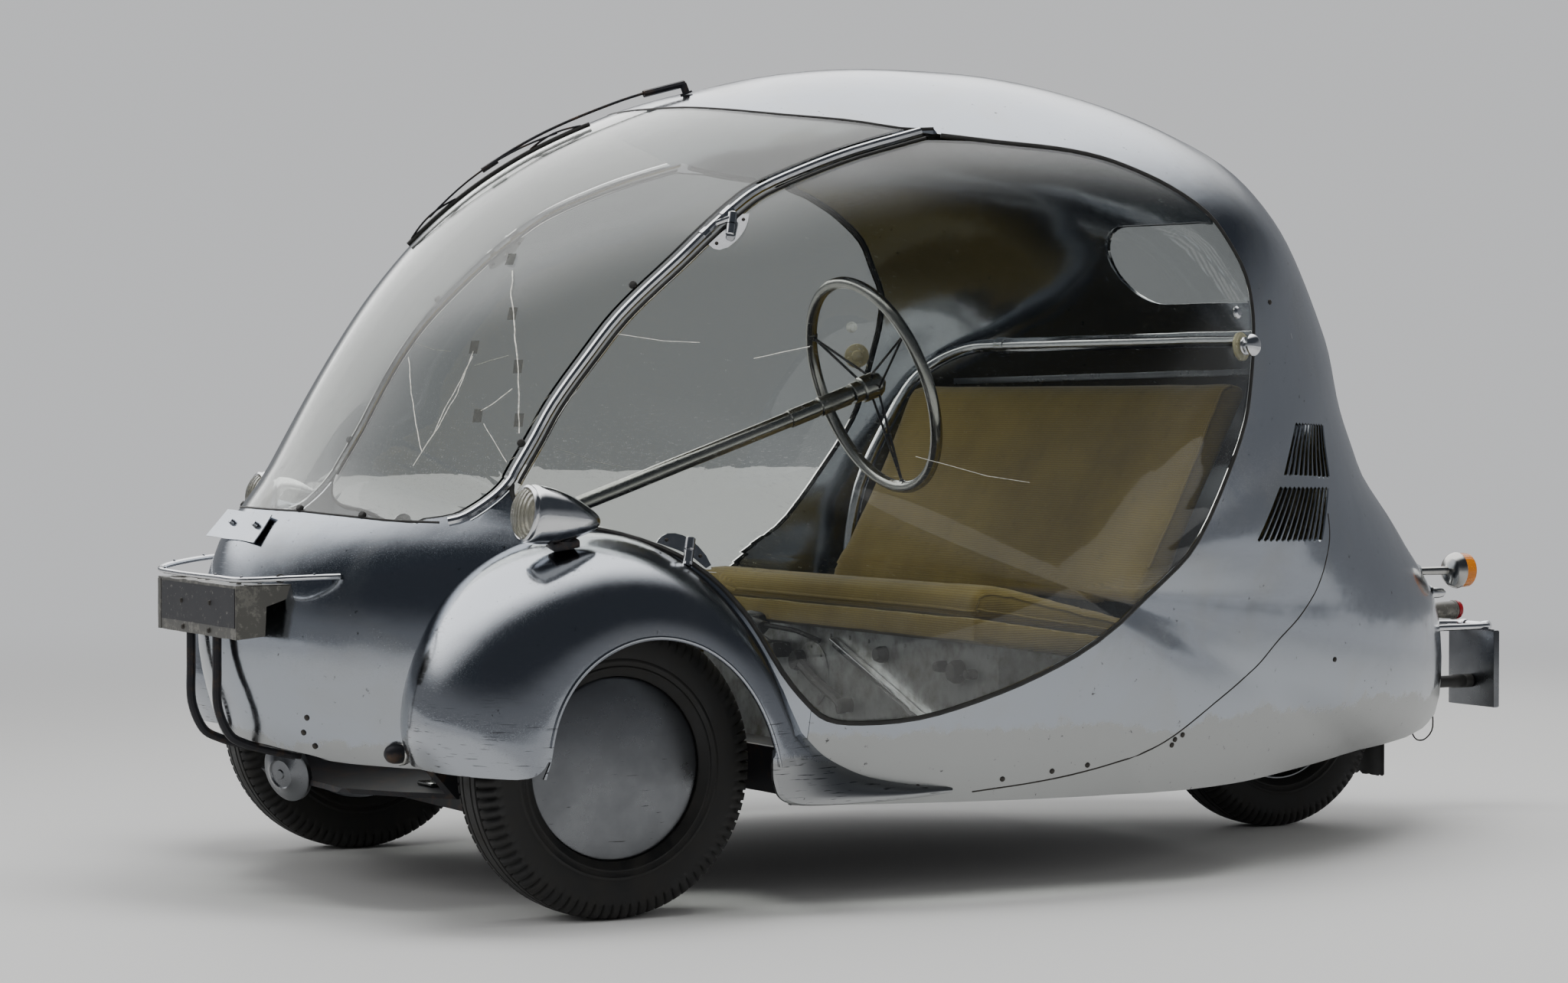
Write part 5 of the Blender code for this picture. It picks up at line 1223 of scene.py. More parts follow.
brace = [bar("brace", (-0.014, base_front - 0.0035, 0.336), (0.400, base_front - 0.0035, 0.182),
             0.016, 0.006),
         bar("brace_edge", (-0.008, base_front - 0.0090, 0.341),
             (0.404, base_front - 0.0090, 0.187), 0.003, 0.014, 0.0006)]
dressed(joined("seat_base_brace", brace), chrome_plate)
levers = [
    pipe("lever", [(-0.060, base_front - 0.004, 0.335), (-0.110, base_front - 0.020, 0.349),
                   (-0.180, base_front - 0.038, 0.355)], 0.0040),
    lathe("lever_knob", [(0, 0.052), (0.010, 0.050), (0.0165, 0.042), (0.0175, 0.026),
                         (0.0165, 0.010), (0.0120, 0.002), (0.006, 0), (0, 0)],
          (-0.180, base_front - 0.038, 0.355), (-1, -0.22, -0.05), 28),
    bar("pedal", (-0.235, base_front - 0.020, 0.316), (-0.155, base_front - 0.020, 0.316),
        0.024, 0.036, 0.004),
    bar("pedal_stem", (-0.195, base_front - 0.0015, 0.310), (-0.195, base_front - 0.012, 0.312),
        0.014, 0.014),
    pipe("crank", [(-0.122, base_front - 0.010, 0.300), (-0.060, base_front - 0.013, 0.272),
                   (0.020, base_front - 0.016, 0.246), (0.034, base_front - 0.016, 0.236)],
         0.0085),
    lathe("crank_boss", [(0, 0.022), (0.014, 0.020), (0.017, 0.012), (0.017, 0.003), (0, 0.003)],
          (-0.122, base_front, 0.300), (0, -1, 0), 24),
    lathe("crank_foot", [(0, 0.024), (0.010, 0.022), (0.012, 0.012), (0.012, 0.0002), (0, 0.0002)],
          (0.032, base_front, 0.238), (0, -1, 0), 18)]
for x, z, radius in ((0.140, 0.325, 0.013), (0.318, 0.318, 0.009), (0.362, 0.313, 0.018),
                     (0.405, 0.312, 0.008), (0.220, 0.215, 0.016)):
    levers.append(lathe("plug", [(0, 0.020), (radius * 0.75, 0.018), (radius, 0.010),
                                 (radius, 0.0002), (0, 0.0002)],
                        (x, base_front, z), (0, -1, 0), 18))
dressed(joined("seat_base_levers", levers), rubber)

# Bench: a board wrapped in cloth, a loose cushion on it and a stuffed back, all in one olive
# ribbed cotton. Each cushion is sewn from flat pieces with a corded seam at its ends.
cloth, tree, surface, where = new_material("ribbed_cotton_cloth")
# The real ribs are 1.5 mm apart, and are drawn 3.5 mm apart so that they show
rib = node(tree, "TexWave", {"wave_type": "BANDS", "bands_direction": "Z"}, Vector=where,
           Scale=2 * pi / 0.0035 / 20, Distortion=1.2, Detail=2.0, Detail_Scale=1.5)
thread = node(tree, "TexWave", {"wave_type": "BANDS", "bands_direction": "X"},
              Vector=where, Scale=2 * pi / 0.0030 / 20, Distortion=1.6, Detail=2.0)
weave = node(tree, "Math", {"operation": "MULTIPLY_ADD"}, i0=thread.outputs["Fac"],
             i1=0.45, i2=rib.outputs["Fac"])
wear = noise_node(tree, where, 0.16, 5.0, 0.62)
stains = noise_node(tree, where, 0.035, 5.0, 0.7)
worn = ranged(tree, wear, 0.36, 0.66)
stained = ranged(tree, stains, 0.60, 0.78, high=0.55)
shade = blend(tree, worn, "#76642A", "#887534")
dark = blend(tree, stained, shade, "#5B4D25")
# The colour is darkened where the weave is low: painted shade in the grooves between the ribs,
# besides their bump
ribbed = ranged(tree, weave, 0.1, 1.2, 0.70, 1.06)
lit = node(tree, "Mix", {"data_type": "RGBA", "blend_type": "MULTIPLY"}, i0=1.0,
           i6=dark, i7=ribbed)
rise = node(tree, "Bump", Strength=0.45, Distance=0.0006, Height=weave)
feed(surface, Base_Color=lit, Normal=rise, Roughness=0.92, Sheen_Weight=0.25, Sheen_Roughness=0.5)


def drawn_out(name, outline, low, high, edge):
    # A closed outline in y and z, drawn out across the car, with its edges rounded
    shape = bmesh.new()
    face = shape.faces.new([shape.verts.new(from_axle(low, y, z)) for y, z in outline])
    pulled(shape, [face], (high - low, 0, 0))
    bmesh.ops.recalc_face_normals(shape, faces=shape.faces)
    if edge:
        bmesh.ops.bevel(shape, geom=shape.edges[:], offset=edge, segments=3, profile=0.5,
                        affect="EDGES", material=-1)
    return made(name, shape)


def stuffed(piece, voxel, pressure, cap):
    # Blows the sewn cover up with the cloth solver, with a cap on how far it may swell
    remesh = piece.modifiers.new("even", "REMESH")
    remesh.mode = "VOXEL"
    remesh.voxel_size = voxel
    settled(piece)
    start = [corner.co.copy() for corner in piece.data.vertices]
    blown = piece.modifiers.new("stuffing", "CLOTH")
    blown.settings.use_pressure = True
    blown.settings.uniform_pressure_force = pressure
    blown.settings.effector_weights.gravity = 0.0
    blown.settings.tension_stiffness = 25.0
    blown.settings.compression_stiffness = 25.0
    blown.settings.bending_stiffness = 1.5
    blown.point_cache.frame_start = 1
    blown.point_cache.frame_end = 20
    for moment in range(1, 21):
        bpy.context.scene.frame_set(moment)
    settled(piece)
    bpy.context.scene.frame_set(1)
    for corner, first in zip(piece.data.vertices, start):
        move = corner.co - first
        if move.length > cap:
            corner.co = first + move * (cap / move.length)
    round_off = piece.modifiers.new("round", "SMOOTH")
    round_off.factor = 0.5
    round_off.iterations = 6
    finer = piece.modifiers.new("finer", "SUBSURF")
    finer.levels = 1
    finer.render_levels = 1
    settled(piece)
    piece.data.shade_smooth()
    return piece


band_height = 0.040
board = drawn_out("bench_board", [
    (0.6005, base_z(0.6005) + 0.0010), (0.9590, base_z(0.9590) + 0.0010),
    (0.9590, base_z(0.9590) + band_height - 0.003),
    (0.6005, base_z(0.6005) + band_height - 0.003)],
    -bench_half + 0.003, bench_half - 0.003, 0.006)
ripple = board.modifiers.new("fine", "REMESH")
ripple.mode = "VOXEL"
ripple.voxel_size = 0.006
settled(board)
# The seed keeps every ripple, here and in the folded sheets, the same on each run
noise.seed_set(1)
for corner in board.data.vertices:
    corner.co += 0.0016 * noise.noise_vector(corner.co * 14.0)
board.data.shade_smooth()
dressed(board, cloth, stands_for=("seat_cushion",))

cushion = drawn_out("bench_cushion", [
    (0.604, base_z(0.604) + band_height - 0.001), (0.952, base_z(0.952) + band_height + 0.000),
    (0.952, cushion_z(0.952) - 0.014), (0.660, cushion_z(0.660) - 0.008), (0.620, 0.441),
    (0.604, 0.428)], -bench_half + 0.010, bench_half - 0.010, 0.008)
stuffed(cushion, 0.008, 4.0, 0.008)
dressed(cushion, cloth, stands_for=("seat_cushion",))

back = drawn_out("bench_back", [
    (0.872, cushion_z(0.872) + 0.012), (0.918, cushion_z(0.918) + 0.010), (0.956, 0.462),
    (1.034, 0.611), (1.098, 0.738), (1.088, 0.750), (1.056, 0.750), (1.043, 0.737),
    (0.970, 0.584), (0.905, 0.462)], -bench_half + 0.004, bench_half - 0.004, 0.006)
stuffed(back, 0.008, 4.0, 0.008)
dressed(back, cloth, stands_for=("seat_back",))


ledge = bar("parcel_ledge_edge", (-0.430, 1.112, 0.7530), (0.450, 1.112, 0.7625),
            0.010, 0.002, 0.0004)
dressed(ledge, cover_sheet)


def corded_seam(name, piece, run, radius, lift, closed=False):
    # A cord sewn in a seam, laid on the stuffed cover where it really is
    mesh = bmesh.new()
    mesh.from_mesh(piece.data)
    tree = bvhtree.BVHTree.FromBMesh(mesh)
    mesh.free()
    laid = []
    for point in run:
        spot, normal, _, _ = tree.find_nearest(from_axle(*point))
        laid.append(spot + normal * lift - Vector((0, axle_y, 0)))
    return pipe(name, [tuple(point) for point in laid], radius, closed, 8)


seams = []
for side in (1, -1):
    x = side * (bench_half - 0.003)
    ring = [(0.612, base_z(0.612) + band_height + 0.008),
            (0.780, base_z(0.780) + band_height + 0.006),
            (0.948, base_z(0.948) + band_height + 0.006), (0.954, cushion_z(0.954) - 0.018),
            (0.800, cushion_z(0.800) - 0.006), (0.665, cushion_z(0.665) - 0.006),
            (0.620, 0.440), (0.604, 0.420), (0.604, 0.405)]
    ring = rounded_path(ring + [ring[0]], 7)
    seams.append(corded_seam("seam", cushion, [(x, y, z) for y, z in ring[:-1]], 0.0022, 0.0004,
                             True))
    ring = [(0.912, 0.468), (0.970, 0.578), (1.030, 0.704), (1.048, 0.742), (1.066, 0.752)]
    seams.append(corded_seam("seam", back, [(x, y, z) for y, z in rounded_path(ring, 7)], 0.0022,
                             0.0004))
front_seam = [(x / 40 * (bench_half - 0.008), 0.600, base_z(0.600) + band_height + 0.004)
              for x in range(-40, 41)]
seams.append(corded_seam("seam", cushion, front_seam, 0.0024, 0.0006))
dressed(joined("bench_corded_seams", seams), cloth)

# Seat frame: one bent steel tube, from the floor on the far side, up behind the back and
# along to the near flank, plated bright
frame_path = [(0.490, 0.930, 0.1664), (0.490, 0.930, 0.300), (0.500, 0.938, 0.432),
              (0.500, 0.962, 0.568), (0.500, 1.020, 0.680), (0.500, 1.068, 0.751),
              (0.478, 1.112, 0.790), (0.425, 1.146, 0.812), (0.350, 1.155, 0.815)]
run = [(-x, y, z) for x, y, z in rounded_path(frame_path, 4)]
near_x = 0.560
while skin_x(1.140, 0.815) - 0.0105 < near_x:
    near_x -= 0.002
run += [(0.350, 1.155, 0.815), (0.470, 1.150, 0.815), (near_x, 1.141, 0.815)]
frame_tubes = [pipe("frame", run, 0.0110, sides=20),
               pipe("rail", [run[-2], run[-1]], 0.0128, sides=20),
               pipe("rail", [(-0.330, 1.155, 0.815), run[-2]], 0.0128, sides=20),
               pipe("fitting", [(-0.348, 1.155, 0.815), (-0.322, 1.155, 0.815)], 0.0145, sides=20)]
dressed(joined("seat_frame_tube", frame_tubes), chrome_plate,
        stands_for=("seat_frame",))

# Steering: a plain steel column in a clamped collar, and a wheel with a bent tube rim hung
# on three pairs of thin rods. Each pair spreads at the hub and meets at a small lug.
column_head = Vector((0.200, 0.545, 0.7285))
column_slope = radians(19.5)
column_lean = Vector((0, cos(column_slope), sin(column_slope)))
brushed_tube, tree, surface, where = new_material("drawn_bright_tube")
haze = noise_node(tree, where, 0.030, 6.0, 0.7)
dull = ranged(tree, haze, 0.35, 0.68, 0.16, 0.27)
shade = blend(tree, haze, "#B8B8B6", "#A09F9A")
feed(surface, Roughness=dull, Base_Color=shade, Metallic=1.0)

column = lathe("column", [(0, 0), (0.0105, 0), (0.0120, -0.0015), (0.0120, -0.768), (0, -0.769)],
               column_head, column_lean, 32)
collars = [column]
for low, high, radius in ((-0.060, -0.006, 0.0148), (-0.115, -0.064, 0.0136)):
    collars.append(lathe("collar", [(0, high), (radius - 0.0015, high), (radius, high - 0.0015),
                                    (radius, low + 0.0015), (radius - 0.0015, low), (0, low)],
                         column_head, column_lean, 32))
post_foot = (0.200, -0.130, 0.1664)
post_head = column_head - column_lean * ((0.545 + 0.130) / cos(column_slope))
collars.append(bar("post", post_foot, (0.200, -0.130, post_head.z), 0.020, 0.030, 0.003))
collars.append(bar("post_foot", post_foot, (0.200, -0.130, 0.1724), 0.050, 0.060, 0.002))
dressed(joined("steering_column_tube", collars), brushed_tube,
        stands_for=("steering_column",))

rim_middle = column_head + column_lean * 0.040
across = Vector((1, 0, 0))
upward = column_lean.cross(across)


def on_rim(turn, radius, along=0.0):
    return tuple(rim_middle + (across * cos(turn) + upward * sin(turn)) * radius
                 + column_lean * along)


rim_radius = 0.165
parts = [pipe("rim", [on_rim(2 * pi * step / 96, rim_radius) for step in range(96)], 0.0092, True,
              20)]
parts.append(lathe("hub", [(0, 0.0540), (0.0120, 0.0540), (0.0165, 0.0520), (0.0185, 0.0480),
                           (0.0200, 0.0460), (0.0200, 0.0190), (0.0185, 0.0170), (0.0160, 0.0165),
                           (0.0160, 0.0015), (0.0150, 0.0006), (0, 0.0006)],
                   column_head, column_lean, 32))
parts.append(lathe("hub_nut", [(0, 0.0600), (0.0075, 0.0600), (0.0085, 0.0590), (0.0085, 0.0540),
                               (0, 0.0540)], column_head, column_lean, 6, 20.0))
for index in range(3):
    turn = radians(90 + 120 * index)
    parts.append(pipe("lug", [on_rim(turn - 0.035, rim_radius - 0.0030),
                              on_rim(turn + 0.035, rim_radius - 0.0040)], 0.0078, sides=12))
dressed(joined("steering_wheel_rim", parts), brushed_tube, body="steering_wheel",
        stands_for=("steering_wheel",))
rods = []
for index in range(3):
    turn = radians(90 + 120 * index)
    for lean in (-0.85, 0.85):
        rods.append(pipe("rod", [on_rim(turn + lean, 0.0165), on_rim(turn, rim_radius - 0.008)],
                         0.0020, sides=8))
    rods.append(lathe("rod_end", [(0, 0.004), (0.003, 0.004), (0.0045, 0.001), (0.0045, -0.003),
                                  (0, -0.003)], on_rim(turn, rim_radius - 0.0085),
                      Vector(on_rim(turn, 0.0)) - Vector(on_rim(turn, 1.0)), 12))
dressed(joined("steering_wheel_rods", rods), oily_steel, body="steering_wheel")

# Headlights: spun bullet shells, chromed, each on a short neck through the fender, with a
# bead ring that holds a pressed glass. The glass has gone a little yellow.
lamp_glass, tree, surface, where = new_material("pressed_lamp_glass")
flute = node(tree, "TexWave", {"wave_type": "BANDS", "bands_direction": "X"},
             Vector=where, Scale=2 * pi / 0.0070 / 20)
fluted = node(tree, "Bump", Strength=1.0, Distance=0.0020, Height=flute.outputs["Fac"])
feed(surface, Normal=fluted, Base_Color=linear("#E6E3D2"), Roughness=0.06,
     Transmission_Weight=0.88, IOR=1.52)

lamp_lean = Vector((0, 0.1150, -0.0140))
for side, name in ((1, "left"), (-1, "right")):
    middle = (side * 0.515, -0.090, 0.559)
    shell = lathe("headlight_shell_" + name, [
        (0, 0.0580), (0.0030, 0.0577), (0.0062, 0.0564), (0.0100, 0.0530), (0.0145, 0.0465),
        (0.0195, 0.0375), (0.0245, 0.0275), (0.0294, 0.0165), (0.0338, 0.0050),
        (0.0372, -0.0080), (0.0396, -0.0210), (0.0409, -0.0330), (0.0412, -0.0420),
        (0.0408, -0.0474), (0.0392, -0.0494), (0.0384, -0.0500), (0.0384, -0.0506),
        (0.0392, -0.0514), (0.0396, -0.0532), (0.0392, -0.0552), (0.0376, -0.0566),
        (0.0358, -0.0570), (0.0345, -0.0560), (0.0345, -0.0400), (0, -0.0400)],
        middle, lamp_lean, 64)
    lens = lathe("headlight_glass_" + name, [
        (0, -0.0440), (0.0342, -0.0440), (0.0342, -0.0560), (0.0332, -0.0590), (0.0290, -0.0628),
        (0.0230, -0.0662), (0.0158, -0.0688), (0.0080, -0.0703), (0, -0.0708)],
        middle, lamp_lean, 64)
    dressed(lens, lamp_glass, stands_for=("headlight_lens_" + name,))
    foot = 0.005 + fender_place(side, 0.47, degrees(asin((0.515 - fender_x) / fender_spread)))[2]
    dressed(shell, chrome_plate, stands_for=("headlight_" + name,))
    shell.name = "headlight_body_" + name
    neck = [lathe("neck", [(0, 0.526), (0.0170, 0.526), (0.0150, 0.519), (0.0130, foot + 0.010),
                           (0.0135, foot + 0.004), (0.0135, foot - 0.010), (0, foot - 0.010)],
                  (side * 0.515, -0.088, 0), (0, 0, 1), 28)]
    tilt = Vector((side * 0.22, -0.16, 1.0)).normalized()
    centre = Vector((side * 0.515, -0.088, foot))
    neck.append(bar("neck_foot", centre - tilt * 0.008, centre + tilt * 0.004,
                    0.030, 0.040, 0.003))
    dressed(joined("headlight_neck_" + name, neck), oily_steel,
            stands_for=("headlight_" + name,))

# Nose kit: a plate holder folded from thin sheet, buckled along its lip, on a bent tube rail
# above and two bowed guard tubes below. The plate's face is painted dark and left bare.
box_front, box_low, box_top = -0.430, 0.382, 0.460
holder_sheet, tree, surface, where = new_material("weathered_plate_sheet")
peel = noise_node(tree, where, 0.022, 7.0, 0.72)
bare = ranged(tree, peel, 0.50, 0.60)
shade = blend(tree, bare, "#4B4A46", "#8C8A83")
rise = node(tree, "Bump", Strength=0.35, Distance=0.0006, Height=peel)
feed(surface, Base_Color=shade, Metallic=bare, Normal=rise, Roughness=0.45)

plate_paint, tree, surface, where = new_material("flaked_black_paint")
flake = noise_node(tree, where, 0.009, 6.0, 0.75)
gone = ranged(tree, flake, 0.60, 0.68)
shade = blend(tree, gone, "#26262A", "#7E7C76")
feed(surface, Base_Color=shade, Metallic=0.25, Roughness=0.50)


def sheet_metal(name, corners, cells, thick, buckle=0.0):
    # A quadrilateral of thin sheet between four corners, with slight buckles
    shape = bmesh.new()
    bmesh.ops.create_grid(shape, x_segments=cells[0], y_segments=cells[1], size=0.5)
    a, b, c, d = (from_axle(*place) for place in corners)
    for corner in shape.verts:
        s, t = corner.co.x + 0.5, corner.co.y + 0.5
        corner.co = a.lerp(b, s).lerp(d.lerp(c, s), t)
        if buckle:
            corner.co += noise.noise_vector(corner.co * 26.0) * buckle
    out = (b - a).cross(d - a).normalized() * -thick
    pulled(shape, shape.faces[:], out)
    bmesh.ops.recalc_face_normals(shape, faces=shape.faces)
    return made(name, shape)


half = 0.1645
folds = [
    sheet_metal("front", [(-half, box_front + 0.0006, box_low),
                          (half, box_front + 0.0006, box_low),
                          (half, box_front + 0.0006, box_top - 0.002),
                          (-half, box_front + 0.0006, box_top - 0.002)], (36, 8), 0.0015, 0.0006),
    sheet_metal("top", [(-half, box_front + 0.0012, box_top - 0.002),
                        (half, box_front + 0.0012, box_top - 0.002),
                        (half - 0.002, -0.360, box_top - 0.0025),
                        (-half + 0.002, -0.360, box_top - 0.0025)], (36, 8), 0.0015, 0.0022),
    sheet_metal("flange", [(-half, box_front - 0.0004, box_low),
                           (-half + 0.012, box_front - 0.0004, box_low),
                           (-half + 0.012, box_front - 0.0004, box_top - 0.004),
                           (-half, box_front - 0.0004, box_top - 0.004)], (2, 8), 0.0012, 0.0004)]
for side in (1, -1):
    x = side * half
    outline = [(box_front + 0.001, box_low), (-0.386, box_low + 0.004), (-0.384, 0.428),
               (-0.360, 0.436), (-0.318, 0.4535), (-0.320, 0.4580), (box_front + 0.001, 0.4585)]
    low, high = sorted((x, x - side * 0.0016))
    folds.append(drawn_out("side", outline, low, high, 0.0))
    tail = [(box_front + 0.020, 0.4575), (-0.330, 0.4575), (-0.330, 0.4590),
            (box_front + 0.020, 0.4590)]
    low, high = sorted((x, x - side * 0.020))
    folds.append(drawn_out("side_fold", tail, low, high, 0.0))
folds.append(drawn_out("back_stay", [(-0.398, 0.384), (-0.330, 0.430), (-0.330, 0.4335),
                                     (-0.400, 0.3865)], -0.020, 0.020, 0.0))
dressed(joined("front_plate_holder", folds), holder_sheet,
        stands_for=("front_plate_box",))
plate_y = box_front - 0.0004
face = sheet_metal("front_plate_face", [
    (-half + 0.016, plate_y, box_low + 0.016), (half - 0.004, plate_y, box_low + 0.016),
    (half - 0.004, plate_y, box_top - 0.006), (-half + 0.016, plate_y, box_top - 0.006)],
    (32, 6), 0.0010, 0.0004)
dressed(face, plate_paint)
rivet_head = [(0, 0.0030), (0.0030, 0.0024), (0.0042, 0), (0, 0)]
heads = [lathe("rivet", rivet_head, (x, y, box_top - 0.0020), (0, 0, 1), 12) for x, y in (
    (-0.140, -0.400), (-0.080, -0.395), (-0.020, -0.405), (0.055, -0.395), (0.110, -0.405),
    (0.140, -0.385))]
heads += [lathe("rivet", rivet_head, (x, plate_y, z), (0, -1, 0), 12) for x, z in (
    (-0.055, 0.390), (0.055, 0.390), (-0.060, 0.428), (0.060, 0.430))]
dressed(joined("front_plate_rivets", heads), grimy_steel)

rail_path = [(0.215, -0.220, 0.472), (0.232, -0.300, 0.472), (0.215, -0.370, 0.470),
             (0.172, -0.424, 0.467), (0.080, -0.429, 0.467), (-0.080, -0.429, 0.467),
             (-0.172, -0.424, 0.470), (-0.215, -0.370, 0.478), (-0.232, -0.300, 0.484),
             (-0.215, -0.220, 0.484)]

def outside(point, stand):
    # Whether a place is off the skin
    x, y, z = point
    reach, squareness = skin_row(degrees(atan2(z - axis_z, y - axis_y)))
    share = min(1.0, abs(x) / half_width)
    skin = reach * (1 - share ** squareness) ** (1 / squareness)
    return hypot(y - axis_y, z - axis_z) > skin + stand


rail_run = [p for p in rounded_path(rail_path, 6) if outside(p, -0.0030)]
rail_kit = [pipe("rail", rail_run, 0.0040, sides=16)]
for x, y, z in (rail_run[index] for index in (3, 12, 18, 27, 34, -4)):
    rail_kit.append(lathe("rail_screw", [(0, 0.0060), (0.0018, 0.0056), (0.0024, 0.0035),
                                         (0, 0.0035)],
                          (x, y, z), (0, 0, 1), 10))
dressed(joined("front_rail_tube", rail_kit), chrome_plate,
        stands_for=("front_rail",))
clip = rail_run[7]
ring = [(clip[0] + 0.0012 * cos(a), clip[1] + 0.0058 * cos(a), clip[2] + 0.0058 * sin(a))
        for a in [2 * pi * step / 16 for step in range(16)]]
dressed(pipe("front_rail_wire_clip", ring, 0.0010, True, 6), grimy_steel)

tab = sheet_metal("nose_tab", [(-0.0735, -0.3880, 0.5215), (0.0815, -0.3720, 0.5160),
                               (0.0840, -0.3450, 0.5550), (-0.0560, -0.3600, 0.5600)], (14, 6),
                  0.0016, 0.0010)
dressed(joined("nose_tab_sheet", [tab] + [
    lathe("rivet", [(0, 0.003), (0.004, 0.002), (0.005, -0.004), (0, -0.004)],
          (x, y, z), (0, -0.8, 0.6), 12) for x, y, z in (
              (-0.016, -0.3700, 0.5435), (0.058, -0.3620, 0.5420))]),
        polished_sheet)

for side in (1, -1):
    x = side * 0.055
    path = [(x, -0.418, box_low - 0.0004), (x, -0.418, 0.330), (x, -0.417, 0.280),
            (x, -0.400, 0.240), (x, -0.375, 0.225), (x, -0.345, 0.2155), (x, -0.300, 0.205)]
    guard = joined("guard_tube_bent_" + ("left" if side > 0 else "right"),
                   [pipe("guard", rounded_path(path, 5), 0.0066, sides=16),
                    bar("guard_end", (x, -0.310, 0.2065), (x, -0.292, 0.2035),
                        0.014, 0.009, 0.002)])
    dressed(guard, oily_steel,
            stands_for=("guard_tube_" + ("left" if side > 0 else "right"),))
horn_dish = lathe("horn_dish", [
    (0, 0.0240), (0.0060, 0.0240), (0.0075, 0.0220), (0.0200, 0.0205), (0.0220, 0.0225),
    (0.0240, 0.0205), (0.0380, 0.0130), (0.0430, 0.0120), (0.0450, 0.0100), (0.0450, 0.0030),
    (0.0435, 0.0010), (0.0220, -0.0110), (0.0180, -0.0120), (0, -0.0120)],
    (-0.004, -0.2830, 0.178), (0.42, -1, -0.25), 48)
dressed(horn_dish, cover_sheet, stands_for=("horn",))
buffers = [lathe("buffer", [(0, 0.0290), (0.0060, 0.0280), (0.0110, 0.0240), (0.0140, 0.0170),
                            (0.0150, 0.0060), (0, 0.0060)], (side * 0.296, -0.232, 0.226),
                 (side * 0.15, -1, -0.05), 28) for side in (1, -1)]
dressed(joined("nose_buffers", buffers), oily_steel)
flanges = [lathe("flange", [(0, 0.0070), (0.0165, 0.0070), (0.0180, 0.0050), (0.0180, 0.0010),
                            (0.0150, -0.0120), (0, -0.0120)], (side * 0.296, -0.232, 0.226),
                 (side * 0.15, -1, -0.05), 32) for side in (1, -1)]
dressed(joined("nose_buffer_flanges", flanges), brushed_tube)

# Tail kit: a folded plate holder on a bent tube rail, a rubber spacer, a red lamp in a steel
# cup, and an amber indicator each side with a chromed bowl on a stalk. The plate is bare.
rear_path = [(0.050, 1.740, 0.327), (0.050, 1.860, 0.327), (0.046, 1.900, 0.327),
             (0.030, 1.919, 0.327), (-0.030, 1.919, 0.327), (-0.046, 1.900, 0.327),
             (-0.050, 1.860, 0.327), (-0.050, 1.740, 0.327)]
rear_run = [p for p in rounded_path(rear_path, 8) if outside(p, -0.001)]
tail_tubes = [pipe("rail", rear_run, 0.0060, sides=20)]
for side in (1, -1):
    tail_tubes.append(lathe("clamp", [
        (0, 0.007), (0.0076, 0.007), (0.0082, 0.006), (0.0082, -0.006), (0.0076, -0.007),
        (0, -0.007)], (side * 0.030, 1.919, 0.327), (1, 0, 0), 24))
dressed(joined("rear_rail_tube", tail_tubes), chrome_plate,
        stands_for=("rear_rail",))
tray = [bar("tray", (0, 1.9170, 0.1855), (0, 1.9170, 0.3200), 0.1235, 0.0112, 0.0016)]
for side in (1, -1):
    tray.append(bar("tray_edge", (side * 0.0612, 1.9210, 0.1870), (side * 0.0612, 1.9210, 0.3185),
                    0.0014, 0.0042, 0.0004))
tray.append(bar("tray_lip", (-0.0600, 1.9128, 0.3198), (0.0600, 1.9128, 0.3198),
                0.0035, 0.0016, 0.0005))
dressed(joined("rear_plate_holder", tray), cover_sheet,
        stands_for=("rear_plate_box",))
face = bar("rear_plate_face", (0, 1.92245, 0.1900), (0, 1.92245, 0.3150), 0.1130, 0.0009, 0.0004)
dressed(face, plate_paint)
dressed(lathe("rear_rubber_spacer", [
    (0, 1.9106), (0.0105, 1.9106), (0.0120, 1.9090), (0.0120, 1.8960), (0.0108, 1.8940),
    (0.0120, 1.8920), (0.0120, 1.8700), (0.0105, 1.8650), (0.0105, 1.7860), (0, 1.7860)],
    (0, 0, 0.229), (0, 1, 0), 32), rubber, stands_for=("rear_spacer",))


def lens_plastic(name, colour):
    # Moulded lens, lit through its coloured body, with fine ribs inside
    material, tree, surface, where = new_material(name)
    ribs = node(tree, "TexWave", {"wave_type": "BANDS", "bands_direction": "X"},
                Vector=where, Scale=2 * pi / 0.0040 / 20)
    raised = node(tree, "Bump", Strength=0.35, Distance=0.0006, Height=ribs.outputs["Fac"])
    grubby = noise_node(tree, where, 0.012, 5.0)
    gloss = ranged(tree, grubby, 0.3, 0.7, 0.10, 0.32)
    feed(surface, Normal=raised, Roughness=gloss, Base_Color=linear(colour),
         Transmission_Weight=0.35, IOR=1.49)
    return material


